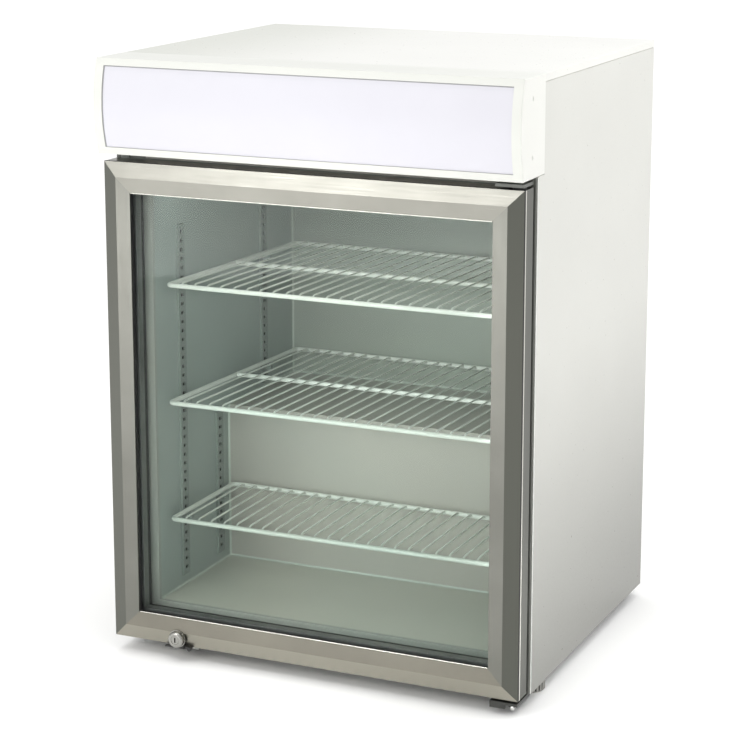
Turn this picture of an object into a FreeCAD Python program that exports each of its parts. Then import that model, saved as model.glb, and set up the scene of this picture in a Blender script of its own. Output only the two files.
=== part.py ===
import FreeCAD, Part
import Sketcher
import math
import os
import re

# Countertop display freezer: an insulated cabinet with a glazed door, a lit sign canopy,
# three wire shelves and a machine bay under a step at the back of the cabin.
# Millimetres. X to the viewer's right, Y to the back, Z up. The origin is on the floor,
# under the centre of the bounding box.

SIZES = {
    # Cabinet shell
    "cab_width": 600,
    "cab_depth": 469,
    "cab_height": 808,
    "panel_gauge": 1,
    "lid_skirt": 10.5,
    "lid_round": 2,
    "seam_gap": 0.6,
    # Insulation, measured from the outer face to the cabin side of the liner
    "wall_build": 52,
    "back_build": 51,
    "floor_build": 50,
    "ceiling_build": 48,
    "step_build": 42,
    "header_build": 50,
    "header_drop": 36,
    "liner_gauge": 1,
    "step_reach": 205,
    "step_height": 280,
    "face_proud": 6,
    "face_inset": 1.5,
    "blank_width": 19,
    "blank_gauge": 2.5,
    "blank_drop": 8,
    # Levelling feet
    "foot_height": 18,
    "foot_radius": 21,
    "foot_gap": 0.3,
    "foot_inset_x": 25,
    "foot_inset_y": 45,
    "foot_front_set": 62,
    "foot_rear_inset": 60,
    "foot_chamfer": 1.5,
    "rib_radius": 1.5,
    "rib_count": 24,
    "stud_radius": 4,
    "stud_reach": 10,
    "stud_clearance": 0.08,
    "boss_radius": 9,
    "boss_height": 12,
    # Door frame section
    "door_side_inset": 2.5,
    "door_lift": 4.5,
    "door_head_gap": 11.5,
    "gasket_gap": 5.5,
    "door_edge_depth": 31.5,
    "frame_width": 40,
    "ridge_inset": 20,
    "ridge_rise": 6,
    "inner_drop": 2.2,
    "lip_depth": 4.6,
    "web_width": 28,
    "frame_wall": 2.4,
    "groove_set": 2,
    "groove_width": 2.2,
    "groove_depth": 2,
    "key_leg": 45,
    "key_gap": 0.2,
    # Glazing and gasket
    "pane_gauge": 4,
    "pane_space": 12,
    "pane_edge_gap": 1,
    "seal_gauge": 5,
    "seal_proud": 0.6,
    "spacer_inset": 4,
    "spacer_width": 10,
    "gasket_inset": 24,
    "gasket_width": 14,
    "gasket_base": 1.8,
    "gasket_step": 1.5,
    "gasket_rest_gap": 0.3,
    # Hinges
    "pin_inset": 12.5,
    "pin_set": 15,
    "pin_radius": 4,
    "pin_reach": 12,
    "pin_clearance": 0.06,
    "pin_head_radius": 6,
    "pin_head_height": 5,
    "bush_wall": 2.5,
    "bush_flange": 9,
    "bush_gap": 0.3,
    "bush_fit": 0.05,
    "bracket_gauge": 4,
    "bracket_inner": 27,
    "bracket_outer": 11,
    "bracket_foot_gap": 21,
    "bracket_lip": 5,
    "bracket_front_set": 2,
    "top_bracket_lift": 3,
    # Lock
    "lock_from_left": 101,
    "lock_rise": 11.5,
    "lock_head_radius": 11.5,
    "lock_head_proud": 9,
    "lock_head_edge": 2.5,
    "lock_body_radius": 8,
    "lock_fit": 0.1,
    "plug_radius": 6,
    "plug_clearance": 0.08,
    "plug_sink": 1,
    "cam_length": 22,
    "cam_half_width": 5,
    "cam_gauge": 1.5,
    "cam_gap": 0.7,
    "keeper_gauge": 2.5,
    "keeper_half_width": 14,
    "keeper_gap": 1,
    "keeper_clear": 2,
    "keeper_lap": 30,
    "seat_half_width": 20,
    "seat_drop": 5,
    "seat_gap": 0.1,
    # Sign canopy
    "canopy_height": 127,
    "canopy_reach": 53,
    "canopy_lap": 20,
    "sign_bulge": 11,
    "cap_width": 13,
    "cap_wall": 2.5,
    "canopy_round": 1.8,
    "rail_height": 9.5,
    "rail_lip": 5,
    "canopy_sheet": 1.5,
    "sign_gauge": 2.5,
    "sign_recess": 1.5,
    "sign_gap": 0.3,
    "led_width": 26,
    "led_depth": 12,
    "led_end_gap": 30,
    "screw_radius": 3.2,
    "screw_sink": 1.6,
    "screw_shank": 1.7,
    "screw_length": 7,
    "screw_fit": 0.05,
    "cap_screw_set": 25,
    "cap_screw_margin": 27,
    # Shelf strips, clips and shelves
    "strip_depth": 4,
    "strip_width": 18,
    "strip_wall": 1.2,
    "strip_set": 58,
    "rear_strip_set": 308,
    "low_strip_set": 163,
    "strip_lift": 66,
    "strip_head_gap": 68,
    "slot_pitch": 12.7,
    "slot_start": 10.4,
    "slot_width": 8,
    "slot_height": 5,
    "low_slot": 6,
    "shelf_spacing_slots": 13,
    "rear_slot_lift": 5.7,
    "clip_rise": 7.2,
    "clip_drop": 3,
    "clip_width": 7,
    "clip_tab_reach": 1.5,
    "clip_fit": 0.3,
    "bar_radius": 3.2,
    "wire_radius": 1.3,
    "wire_pitch": 19.7,
    "wire_edge": 12,
    "weld_sink": 0.8,
    "shelf_bend": 8,
    "shelf_set": 13.2,
    "shelf_side_gap": 4,
    "shelf_back_gap": 6,
    "shelf_rest_gap": 0.3,
    # Evaporator above the cabin
    "cover_gauge": 1.2,
    "cover_side_gap": 2,
    "air_gap": 22,
    "cabin_fan_set": 95,
    "cabin_fan_radius": 54,
    "cabin_fan_tip_gap": 5,
    "cabin_fan_lift": 4,
    "coil_half_length": 190,
    "coil_fan_gap": 28,
    "coil_height": 80,
    "coil_back_gap": 14,
    "fin_pitch": 20,
    "fin_gap": 8,
    "fin_cut": 12,
    # Fans
    "hub_radius": 15,
    "hub_length": 20,
    "shaft_radius": 3,
    "shaft_clearance": 0.06,
    "shaft_end_gap": 2,
    "blade_count": 5,
    "blade_chord": 38,
    "blade_gauge": 2,
    "motor_radius": 27,
    "motor_length": 42,
    "motor_gap": 6,
    "bridge_width": 16,
    "bridge_gauge": 3,
    "bridge_margin": 10,
    # Machine bay
    "grille_recess": 16,
    "grille_gap": 0.5,
    "grille_rows": 9,
    "grille_columns": 3,
    "louvre_height": 6,
    "louvre_pitch": 18,
    "louvre_length": 120,
    "louvre_gap": 20,
    "bay_gap": 6,
    "condenser_width": 60,
    "condenser_side_gap": 8,
    "condenser_height": 190,
    "shroud_gauge": 1.5,
    "shroud_collar": 24,
    "shroud_wall": 2,
    "bay_fan_radius": 66,
    "bay_fan_tip_gap": 4,
    "compressor_radius": 68,
    "compressor_height": 165,
    "compressor_from_right": 170,
    "mount_height": 14,
    "mount_radius": 10,
    "mount_spread": 58,
    "mount_margin": 4,
    "pipe_radius": 3.2,
    "pipe_bend": 16,
    "drier_radius": 10,
    "drier_length": 90,
    # Rear controls
    "gland_radius": 9,
    "gland_flange": 12,
    "gland_flange_gauge": 4,
    "gland_bore": 4.1,
    "gland_length": 22,
    "gland_from_edge": 55,
    "gland_rise": 40,
    "gland_fit": 0.1,
    "knob_radius": 15,
    "knob_depth": 11,
    "knob_gap": 0.4,
    "knob_from_edge": 55,
    "knob_rise": 60,
    "knob_shaft_reach": 10,
}

PLACES = {
    # Cabinet planes
    "front_y": "(canopy_reach + sign_bulge - cab_depth) / 2",
    "back_y": "front_y + cab_depth",
    "half_width": "cab_width / 2",
    "inner_x": "half_width - panel_gauge",
    "base_z": "foot_height",
    "top_z": "foot_height + cab_height",
    "panel_top_z": "top_z - lid_skirt - seam_gap",
    "lid_y": "front_y + canopy_lap",
    # Cabin planes
    "cabin_x": "half_width - wall_build",
    "floor_z": "base_z + floor_build",
    "step_y": "front_y + step_reach",
    "step_z": "base_z + step_height",
    "cabin_back_y": "back_y - back_build",
    "ceiling_z": "top_z - ceiling_build",
    "header_z": "canopy_z - header_drop",
    "chamber_y": "lid_y + header_build",
    "bay_y": "step_y + step_build",
    "bay_z": "step_z - step_build",
    "bay_floor_z": "base_z + panel_gauge",
    "grille_y": "back_y - grille_recess",
    # Door planes
    "face_y": "front_y - face_proud",
    "door_back_y": "face_y - gasket_gap",
    "door_edge_y": "door_back_y - door_edge_depth",
    "door_ridge_y": "door_edge_y - ridge_rise",
    "member_depth": "door_edge_depth + ridge_rise",
    "door_x": "half_width - door_side_inset",
    "door_z": "base_z + door_lift",
    "door_top_z": "canopy_z - door_head_gap",
    "chamber_front": "ridge_rise + groove_set + groove_width + frame_wall / 2",
    "pane_inset": "web_width + pane_edge_gap",
    "seal_y": "door_ridge_y + lip_depth",
    "pane_y": "seal_y + seal_gauge",
    "space_y": "pane_y + pane_gauge",
    "back_pane_y": "space_y + pane_space",
    "bead_y": "back_pane_y + pane_gauge",
    # Hinge and lock axes
    "pin_x": "door_x - pin_inset",
    "pin_y": "door_back_y - pin_set",
    "bush_radius": "pin_radius + pin_clearance + bush_wall",
    "bracket_front_y": "door_edge_y + bracket_front_set",
    "bracket_back_y": "front_y + foot_front_set - foot_radius - bracket_foot_gap",
    "lock_x": "lock_from_left - door_x",
    "lock_z": "door_z + lock_rise",
    "cam_y": "door_back_y + cam_gap",
    "keeper_z": "lock_z - cam_length - keeper_clear - keeper_gauge",
    # Canopy planes
    "canopy_z": "top_z - canopy_height",
    "canopy_x": "half_width - cap_width",
    "canopy_front_y": "front_y - canopy_reach - sign_bulge",
    "curve_radius": "(canopy_height * canopy_height / 4 + sign_bulge * sign_bulge) / (2 * sign_bulge)",
    "curve_y": "canopy_front_y + curve_radius",
    "curve_z": "canopy_z + canopy_height / 2",
    # Shelf planes
    "strip_x": "cabin_x - strip_depth",
    "first_slot_z": "base_z + strip_lift + slot_start",
    "clip_front_y": "front_y + strip_set + strip_width / 2",
    "clip_rear_y": "front_y + rear_strip_set + strip_width / 2",
    "clip_low_y": "front_y + low_strip_set + strip_width / 2",
    "rail_x": "strip_x - shelf_side_gap - bar_radius",
    "wire_z": "bar_radius + wire_radius - weld_sink",
    # Evaporator planes
    "cabin_fan_y": "chamber_y + cabin_fan_set",
    "cover_back_y": "cabin_back_y - air_gap",
    "cover_top_z": "header_z + cover_gauge",
    "coil_back_y": "cover_back_y - coil_back_gap",
    "coil_front_y": "cabin_fan_y + fan_hole + coil_fan_gap",
    "cabin_hub_z": "header_z + cabin_fan_lift",
    "fan_hole": "cabin_fan_radius + cabin_fan_tip_gap",
    # Machine bay planes
    "condenser_x": "condenser_side_gap - inner_x",
    "shroud_x": "condenser_x + condenser_width",
    "condenser_y": "bay_y + bay_gap",
    "condenser_back_y": "back_y - foot_inset_y - boss_radius - bay_gap",
    "bay_fan_y": "(condenser_y + condenser_back_y) / 2",
    "bay_fan_z": "bay_floor_z + condenser_height / 2",
    "bay_hub_x": "shroud_x + shroud_gauge",
    "collar_radius": "bay_fan_radius + bay_fan_tip_gap",
    "compressor_x": "inner_x - compressor_from_right",
    "gland_x": "inner_x - gland_from_edge",
    "gland_z": "base_z + gland_rise",
    "knob_x": "knob_from_edge - inner_x",
    "knob_z": "base_z + knob_rise",
}

# How far a cutting tool runs past what it cuts, the blades' angle in degrees, and the least length
# that counts as more than nothing.
MARGIN = "cap_width"
BLADE_PITCH = 28
EPSILON = 1e-4
FOOT_CORNERS = {
    "foot_front_left": ("foot_inset_x - half_width", "front_y + foot_front_set"),
    "foot_front_right": ("half_width - foot_inset_x", "front_y + foot_front_set"),
    "foot_rear_left": ("foot_rear_inset - half_width", "back_y - foot_inset_y"),
    "foot_rear_right": ("half_width - foot_rear_inset", "back_y - foot_inset_y"),
}

WORD = re.compile(r"[a-z][a-z0-9_]*")
UP = FreeCAD.Vector(0, 0, 1)
TURNS = {
    "x": FreeCAD.Rotation(FreeCAD.Vector(0, 1, 0), 90),
    "y": FreeCAD.Rotation(FreeCAD.Vector(1, 0, 0), -90),
    "z": FreeCAD.Rotation(),
}

os.makedirs("parts", exist_ok=True)
doc = FreeCAD.newDocument("DisplayFreezer")
sheet = doc.addObject("Spreadsheet::Sheet", "Sizes")
for row, (alias, size) in enumerate(SIZES.items(), start=1):
    sheet.set(f"A{row}", alias)
    sheet.set(f"B{row}", str(size))
    sheet.setAlias(f"B{row}", alias)
doc.recompute()
nodes = []


def formula(text):
    """Spell a formula out: a place becomes its own formula, a size becomes its cell."""
    def spell(match):
        word = match.group()
        if word in PLACES:
            return f"({formula(PLACES[word])})"
        return f"Sizes.{word}" if word in SIZES else word
    return WORD.sub(spell, text)


def value(text):
    """The number that a formula gives with the present sizes."""
    return float(sheet.evalExpression(formula(text)))


def bind(item, prop, text):
    """Tie one property to a formula."""
    item.setExpression(prop, formula(text))


def put(item, x, y, z, turn=None):
    """Give a piece its place, and a fixed turn if it has one."""
    if turn is not None:
        item.Placement = FreeCAD.Placement(FreeCAD.Vector(), turn)
    for axis, text in zip("xyz", (x, y, z)):
        bind(item, f"Placement.Base.{axis}", text)
    return item


def block(name, x, y, z):
    """A box between a low and a high formula on each axis."""
    item = doc.addObject("Part::Box", name)
    for prop, (low, high) in zip(("Length", "Width", "Height"), (x, y, z)):
        bind(item, prop, f"({high}) - ({low})")
    return put(item, x[0], y[0], z[0])


def wide(half):
    """The span from minus to plus a half width."""
    return (f"-({half})", half)


def rod(name, axis, radius, low, high, across):
    """A cylinder along an axis, from low to high; across gives its two other coordinates in order."""
    item = doc.addObject("Part::Cylinder", name)
    bind(item, "Radius", radius)
    bind(item, "Height", f"({high}) - ({low})")
    base = list(across)
    base.insert("xyz".index(axis), low)
    return put(item, *base, TURNS[axis])


def group(name, items):
    """Several solids kept apart in one piece."""
    item = doc.addObject("Part::Compound", name)
    item.Links = list(items)
    return item


def turned_copy(name, source, turn):
    """The same solid again, turned about the origin."""
    item = group(name, [source])
    item.Placement = FreeCAD.Placement(FreeCAD.Vector(), turn)
    return item


def fuse(name, *items):
    """Several solids joined into one."""
    item = doc.addObject("Part::MultiFuse", name)
    item.Shapes = list(items)
    return item


def cut(name, base, *tools):
    """A solid less one or more separate tools."""
    item = doc.addObject("Part::Cut", name)
    item.Base = base
    item.Tool = tools[0] if len(tools) == 1 else group(f"{name}Tools", tools)
    return item


def common(name, first, second):
    """What two solids share."""
    item = doc.addObject("Part::Common", name)
    item.Base = first
    item.Tool = second
    return item


def soften(name, base, radius, pick):
    """A solid with some edges rounded: those whose bounding box passes a test."""
    doc.recompute()
    size = value(radius)
    item = doc.addObject("Part::Fillet", name)
    item.Base = base
    item.Edges = [(index, size, size) for index, edge in enumerate(base.Shape.Edges, start=1)
                  if pick(edge.BoundBox)]
    return item


def ring(name, inset, width, y):
    """A rectangular ring parallel to the door, set in from its edge and of one width."""
    inner = f"({inset}) + ({width})"
    outside = block(f"{name}Outside", wide(f"door_x - ({inset})"), y,
                    (f"door_z + ({inset})", f"door_top_z - ({inset})"))
    hollow = block(f"{name}Hollow", wide(f"door_x - ({inner})"),
                   (f"({y[0]}) - {MARGIN}", f"({y[1]}) + {MARGIN}"),
                   (f"door_z + ({inner})", f"door_top_z - ({inner})"))
    return cut(name, outside, hollow)


def fix(sketch, line, kind, text):
    """Tie one coordinate of a line's start to a formula."""
    size = value(text)
    if abs(size) < EPSILON:
        axis = -2 if kind == "DistanceX" else -1
        sketch.addConstraint(Sketcher.Constraint("PointOnObject", line, 1, axis))
        return
    index = sketch.addConstraint(Sketcher.Constraint(kind, -1, 1, line, 1, size))
    bind(sketch, f"Constraints[{index}]", text)


def outline(body, plane, loops):
    """A sketch of closed straight-sided loops, tied corner by corner, on one of the body's own planes."""
    sketch = body.newObject("Sketcher::SketchObject", f"{body.Name}Outline")
    support = next(item for item in body.Origin.OriginFeatures if item.Role == plane)
    sketch.AttachmentSupport = [(support, "")]
    sketch.MapMode = "FlatFace"
    for loop in loops:
        first = sketch.GeometryCount
        corners = [FreeCAD.Vector(value(u), value(v), 0) for u, v in loop]
        for start, end in zip(corners, corners[1:] + corners[:1]):
            sketch.addGeometry(Part.LineSegment(start, end))
        for index, (u, v) in enumerate(loop):
            before = first + (index - 1) % len(loop)
            sketch.addConstraint(Sketcher.Constraint("Coincident", before, 2, first + index, 1))
            fix(sketch, first + index, "DistanceX", u)
            fix(sketch, first + index, "DistanceY", v)
    return sketch


def extruded(name, plane, loops, length, place):
    """A section drawn on the XY or YZ plane and drawn out along the third axis."""
    body = doc.addObject("PartDesign::Body", name)
    pad = body.newObject("PartDesign::Pad", f"{name}Pad")
    pad.Profile = outline(body, plane, loops)
    bind(pad, "Length", length)
    return put(body, *place)


def turned(name, axis, points, place):
    """A half section of (radius, height) points turned about an axis through the place given."""
    body = doc.addObject("PartDesign::Body", name)
    sketch = outline(body, "XZ_Plane", [points])
    revolution = body.newObject("PartDesign::Revolution", f"{name}Turn")
    revolution.Profile = sketch
    revolution.ReferenceAxis = (sketch, ["V_Axis"])
    revolution.Angle = 360
    return put(body, *place, TURNS[axis])


def pipe(name, radius, points, bend, closed=False):
    """A round bar along straight runs with rounded corners; radius and bend are numbers."""
    corners = [FreeCAD.Vector(*point) for point in points]
    edges = []
    start = corners[0]
    if closed:
        start = (corners[-1] + corners[0]) * 0.5
        corners = corners + [start]
    else:
        corners = corners[1:]
    here = start
    for index, corner in enumerate(corners[:-1]):
        before = (corner - here).normalize()
        after = (corners[index + 1] - corner).normalize()
        half_turn = before.getAngle(after) / 2
        entry = corner - before * (bend * math.tan(half_turn))
        leave = corner + after * (bend * math.tan(half_turn))
        inward = (after - before).normalize()
        crown = corner + inward * (bend / math.cos(half_turn) - bend)
        edges.append(Part.LineSegment(here, entry).toShape())
        edges.append(Part.Arc(entry, crown, leave).toShape())
        here = leave
    edges.append(Part.LineSegment(here, corners[-1]).toShape())
    heading = (edges[0].Vertexes[1].Point - edges[0].Vertexes[0].Point).normalize()
    section = Part.Wire([Part.makeCircle(radius, start, heading)])
    item = doc.addObject("Part::Feature", name)
    item.Shape = Part.Wire(edges).makePipeShell([section], True, False)
    return item


def node(item, label):
    """Register a finished piece under its own name."""
    item.Label = label
    nodes.append(item)
    return item


def build_shell():
    """Side panels, lid, base pan, folded back panel and the insulation between them and the liner."""
    height = "panel_top_z - base_z"
    notch = "canopy_z - base_z"
    side = [("0", "0"), ("cab_depth", "0"), ("cab_depth", height), ("canopy_lap", height),
            ("canopy_lap", notch), ("0", notch)]
    node(extruded("SidePanelLeft", "YZ_Plane", [side], "panel_gauge",
                  ("-half_width", "front_y", "base_z")), "side_panel_left")
    node(extruded("SidePanelRight", "YZ_Plane", [side], "panel_gauge",
                  ("inner_x", "front_y", "base_z")), "side_panel_right")

    lid = block("LidOutside", wide("half_width"), ("lid_y", "back_y"), ("top_z - lid_skirt", "top_z"))
    under = block("LidUnder", wide("inner_x"), ("lid_y", "back_y - panel_gauge"),
                  ("top_z - lid_skirt", "top_z - panel_gauge"))
    side_x = value("half_width")
    back = value("back_y")
    top = value("top_z")

    def on_rim(edge):
        on_side = abs(edge.XMin) > side_x - EPSILON and abs(edge.XMax) > side_x - EPSILON
        along_side = on_side and edge.XLength < EPSILON
        return edge.ZMin > top - EPSILON and (along_side or edge.YMin > back - EPSILON)

    node(soften("TopLid", cut("LidShell", lid, under), "lid_round", on_rim), "top_lid")

    tray = block("BasePlate", wide("inner_x"), ("front_y", "back_y"), ("base_z", "bay_floor_z"))
    bosses = []
    bores = []
    for name, (x, y) in FOOT_CORNERS.items():
        bosses.append(rod(f"{name}_boss", "z", "boss_radius", "base_z", "base_z + boss_height", (x, y)))
        bores.append(rod(f"{name}_bore", "z", "stud_radius + stud_clearance",
                         f"base_z - {MARGIN}", f"base_z + boss_height + {MARGIN}", (x, y)))
    node(cut("BasePan", fuse("BaseSolid", tray, *bosses), *bores), "base_pan")

    down = "back_y - bay_y + panel_gauge"
    rise = "bay_z - bay_floor_z"
    tall = "panel_top_z - bay_floor_z"
    fold = [("0", "0"), ("panel_gauge", "0"), ("panel_gauge", rise), (down, rise), (down, tall),
            (f"{down} - panel_gauge", tall), (f"{down} - panel_gauge", f"{rise} + panel_gauge"),
            ("0", f"{rise} + panel_gauge")]
    node(extruded("BackPanel", "YZ_Plane", [fold], "2 * inner_x",
                  ("-inner_x", "bay_y - panel_gauge", "bay_floor_z")), "back_panel")

    foam = block("FoamBlock", wide("inner_x"), ("front_y", "back_y - panel_gauge"),
                 ("bay_floor_z", "top_z - panel_gauge"))
    liner_x = wide("cabin_x + liner_gauge")
    front = f"front_y - {MARGIN}"
    canopy_room = block("CanopyRoom", wide("half_width"), (front, "lid_y"), ("canopy_z", f"top_z + {MARGIN}"))
    cabin_room = block("CabinRoom", liner_x, (front, "step_y + liner_gauge"),
                       ("floor_z - liner_gauge", "header_z + liner_gauge"))
    upper_room = block("UpperRoom", liner_x, ("chamber_y - liner_gauge", "cabin_back_y + liner_gauge"),
                       ("step_z - liner_gauge", "ceiling_z + liner_gauge"))
    bay_room = block("BayRoom", wide("half_width"), ("bay_y - panel_gauge", f"back_y + {MARGIN}"),
                     ("base_z", "bay_z + panel_gauge"))
    boss_rooms = [rod(f"{name}_room", "z", "boss_radius", "base_z", "base_z + boss_height", (x, y))
                  for name, (x, y) in FOOT_CORNERS.items()]
    rooms = fuse("FoamRooms", canopy_room, cabin_room, upper_room, bay_room, *boss_rooms)
    node(cut("InsulationFoam", foam, rooms), "insulation_foam")


def build_liner():
    """Sheet walls of the cabin and the grey frame round its mouth."""
    step_up = "step_z - floor_z"
    full_up = "ceiling_z - floor_z"
    head_up = "header_z - floor_z"
    far = "cab_depth - back_build"
    lap = "canopy_lap + header_build"
    side = [("0", "0"), ("step_reach", "0"), ("step_reach", step_up), (far, step_up), (far, full_up),
            (lap, full_up), (lap, head_up), ("0", head_up)]
    node(extruded("LinerLeft", "YZ_Plane", [side], "liner_gauge",
                  ("-cabin_x - liner_gauge", "front_y", "floor_z")), "liner_left")
    node(extruded("LinerRight", "YZ_Plane", [side], "liner_gauge",
                  ("cabin_x", "front_y", "floor_z")), "liner_right")
    node(block("LinerBack", wide("cabin_x"), ("cabin_back_y", "cabin_back_y + liner_gauge"),
               ("step_z", "ceiling_z")), "liner_back")
    node(block("LinerFloor", wide("cabin_x"), ("front_y", "step_y + liner_gauge"),
               ("floor_z - liner_gauge", "floor_z")), "liner_floor")

    deep = "cabin_back_y + liner_gauge - step_y"
    step = [("0", "0"), ("liner_gauge", "0"), ("liner_gauge", f"{step_up} - liner_gauge"),
            (deep, f"{step_up} - liner_gauge"), (deep, step_up), ("0", step_up)]
    node(extruded("LinerStep", "YZ_Plane", [step], "2 * cabin_x",
                  ("-cabin_x", "step_y", "floor_z")), "liner_step")

    rise = "ceiling_z - header_z"
    ceiling = [("0", "0"), (lap, "0"), (lap, rise), (f"{far} + liner_gauge", rise),
               (f"{far} + liner_gauge", f"{rise} + liner_gauge"),
               (f"{lap} - liner_gauge", f"{rise} + liner_gauge"),
               (f"{lap} - liner_gauge", "liner_gauge"), ("0", "liner_gauge")]
    node(extruded("LinerCeiling", "YZ_Plane", [ceiling], "2 * cabin_x",
                  ("-cabin_x", "front_y", "header_z")), "liner_ceiling")

    depth = ("face_y", "front_y")
    low = "base_z + face_inset"
    high = "canopy_z - seam_gap"
    outer = "half_width - face_inset"
    blank_low = "door_top_z - blank_drop"
    node(group("FaceFrame", [
        block("FaceLeft", (f"-({outer})", "-cabin_x"), depth, (low, high)),
        block("FaceRight", ("cabin_x", outer), depth, (low, high)),
        block("FaceBottom", wide("cabin_x"), depth, (low, "floor_z")),
        block("FaceTop", wide("cabin_x"), depth, ("header_z", high)),
        block("HingeBlank", (f"-({outer})", f"blank_width - ({outer})"), ("face_y - blank_gauge", "face_y"),
              (blank_low, high)),
    ]), "face_frame")


def build_canopy():
    """Sign canopy: end caps, rails, curved sign, back tray, LED batten and the screws that hold it."""
    far = "lid_y"
    near = f"canopy_front_y - {MARGIN}"
    tall = ("canopy_z", "top_z")
    sides = {"left": ("-half_width", "-canopy_x", "cap_wall - half_width", "-canopy_x"),
             "right": ("canopy_x", "half_width", "canopy_x", "half_width - cap_wall")}
    heights = {"Low": "canopy_z + cap_screw_margin", "High": "top_z - cap_screw_margin"}
    screws = []
    for side, (low, high, hollow_low, hollow_high) in sides.items():
        outward = -1 if side == "left" else 1
        curve = rod(f"CapCurve_{side}", "x", "curve_radius", low, high, ("curve_y", "curve_z"))
        shape = common(f"CapShape_{side}", block(f"CapBlock_{side}", (low, high), (near, far), tall), curve)
        inner_curve = rod(f"CapInnerCurve_{side}", "x", "curve_radius - cap_wall", hollow_low, hollow_high,
                          ("curve_y", "curve_z"))
        room = block(f"CapRoom_{side}", (hollow_low, hollow_high), (near, f"{far} - cap_wall"),
                     ("canopy_z + cap_wall", "top_z - cap_wall"))
        hollow = common(f"CapHollow_{side}", room, inner_curve)
        shell = cut(f"CapShell_{side}", shape, hollow)
        holes = []
        for name, z in heights.items():
            spot = ("front_y - cap_screw_set", z)
            holes.append(screw(f"CapHole{name}_{side}", outward, spot, "screw_fit"))
            screws.append(screw(f"CapScrew{name}_{side}", outward, spot, "0"))
        rim_x = outward * value("half_width")
        join_y = value(far)

        def on_rim(edge):
            off_side = max(abs(edge.XMin - rim_x), abs(edge.XMax - rim_x))
            return off_side < EPSILON and edge.YMin < join_y - EPSILON

        rounded = soften(f"CapRounded_{side}", shell, "canopy_round", on_rim)
        node(cut(f"CanopyCap_{side}", rounded, *holes), f"canopy_cap_{side}")

    across = wide("canopy_x")
    curve = rod("CanopyCurve", "x", "curve_radius", *across, ("curve_y", "curve_z"))
    lip_curve = rod("CanopyLipCurve", "x", "curve_radius - rail_lip", *across, ("curve_y", "curve_z"))
    rails = {"top": (("top_z - rail_height", "top_z"), ("top_z - rail_height", "top_z - canopy_sheet")),
             "bottom": (("canopy_z", "canopy_z + rail_height"),
                        ("canopy_z + canopy_sheet", "canopy_z + rail_height"))}
    for name, (outside, inside) in rails.items():
        bar = common(f"RailBar_{name}", block(f"RailBlock_{name}", across, (near, far), outside), curve)
        space = block(f"RailRoomBlock_{name}", across, (near, far), inside)
        room = common(f"RailRoom_{name}", space, lip_curve)
        node(cut(f"CanopyRail_{name}", bar, room), f"canopy_{name}_rail")

    sign_outer = rod("SignOuter", "x", "curve_radius - sign_recess", *across, ("curve_y", "curve_z"))
    sign_inner = rod("SignInner", "x", "curve_radius - sign_recess - sign_gauge", *across,
                     ("curve_y", "curve_z"))
    sign_block = block("SignBlock", wide("canopy_x - sign_gap"), (near, "front_y"),
                       ("canopy_z + rail_height + sign_gap", "top_z - rail_height - sign_gap"))
    node(cut("SignPanel", common("SignFront", sign_block, sign_outer), sign_inner), "sign_panel")

    tray_y = f"{far} - canopy_sheet"
    node(block("CanopyTray", across, (tray_y, far), ("canopy_z + canopy_sheet", "top_z - canopy_sheet")),
         "canopy_tray")
    strip = block("LedBlock", wide("canopy_x - led_end_gap"), (f"{tray_y} - led_depth", tray_y),
                  ("curve_z - led_width / 2", "curve_z + led_width / 2"))
    lens = rod("LedLens", "x", "led_depth + canopy_sheet", *wide("canopy_x - led_end_gap"),
               (tray_y, "curve_z"))
    node(common("LedBatten", strip, lens), "led_batten")
    return screws


def screw(name, outward, spot, fit):
    """A screw sunk flush into one side of the canopy, grown by a fit when it stands for its own hole."""
    lengths = {"Head": ("screw_sink", "0"), "Shank": (f"screw_length + {fit}", "screw_sink")}
    radii = {"Head": f"screw_radius + {fit}", "Shank": f"screw_shank + {fit}"}
    parts = []
    for part, (deep, shallow) in lengths.items():
        span = (f"half_width - ({deep})", f"half_width - ({shallow})")
        if outward < 0:
            span = (f"{shallow} - half_width", f"{deep} - half_width")
        parts.append(rod(f"{name}{part}", "x", radii[part], *span, spot))
    return fuse(name, *parts)


def mitre(name, x, z, turn):
    """A square tool standing on one corner at a door corner, which trims a member at 45 degrees."""
    item = doc.addObject("Part::Box", name)
    for prop in ("Length", "Height"):
        bind(item, prop, "2 * frame_width")
    bind(item, "Width", f"member_depth + 2 * {MARGIN}")
    return put(item, x, f"door_ridge_y - {MARGIN}", z, FreeCAD.Rotation(FreeCAD.Vector(0, 1, 0), turn))


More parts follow.
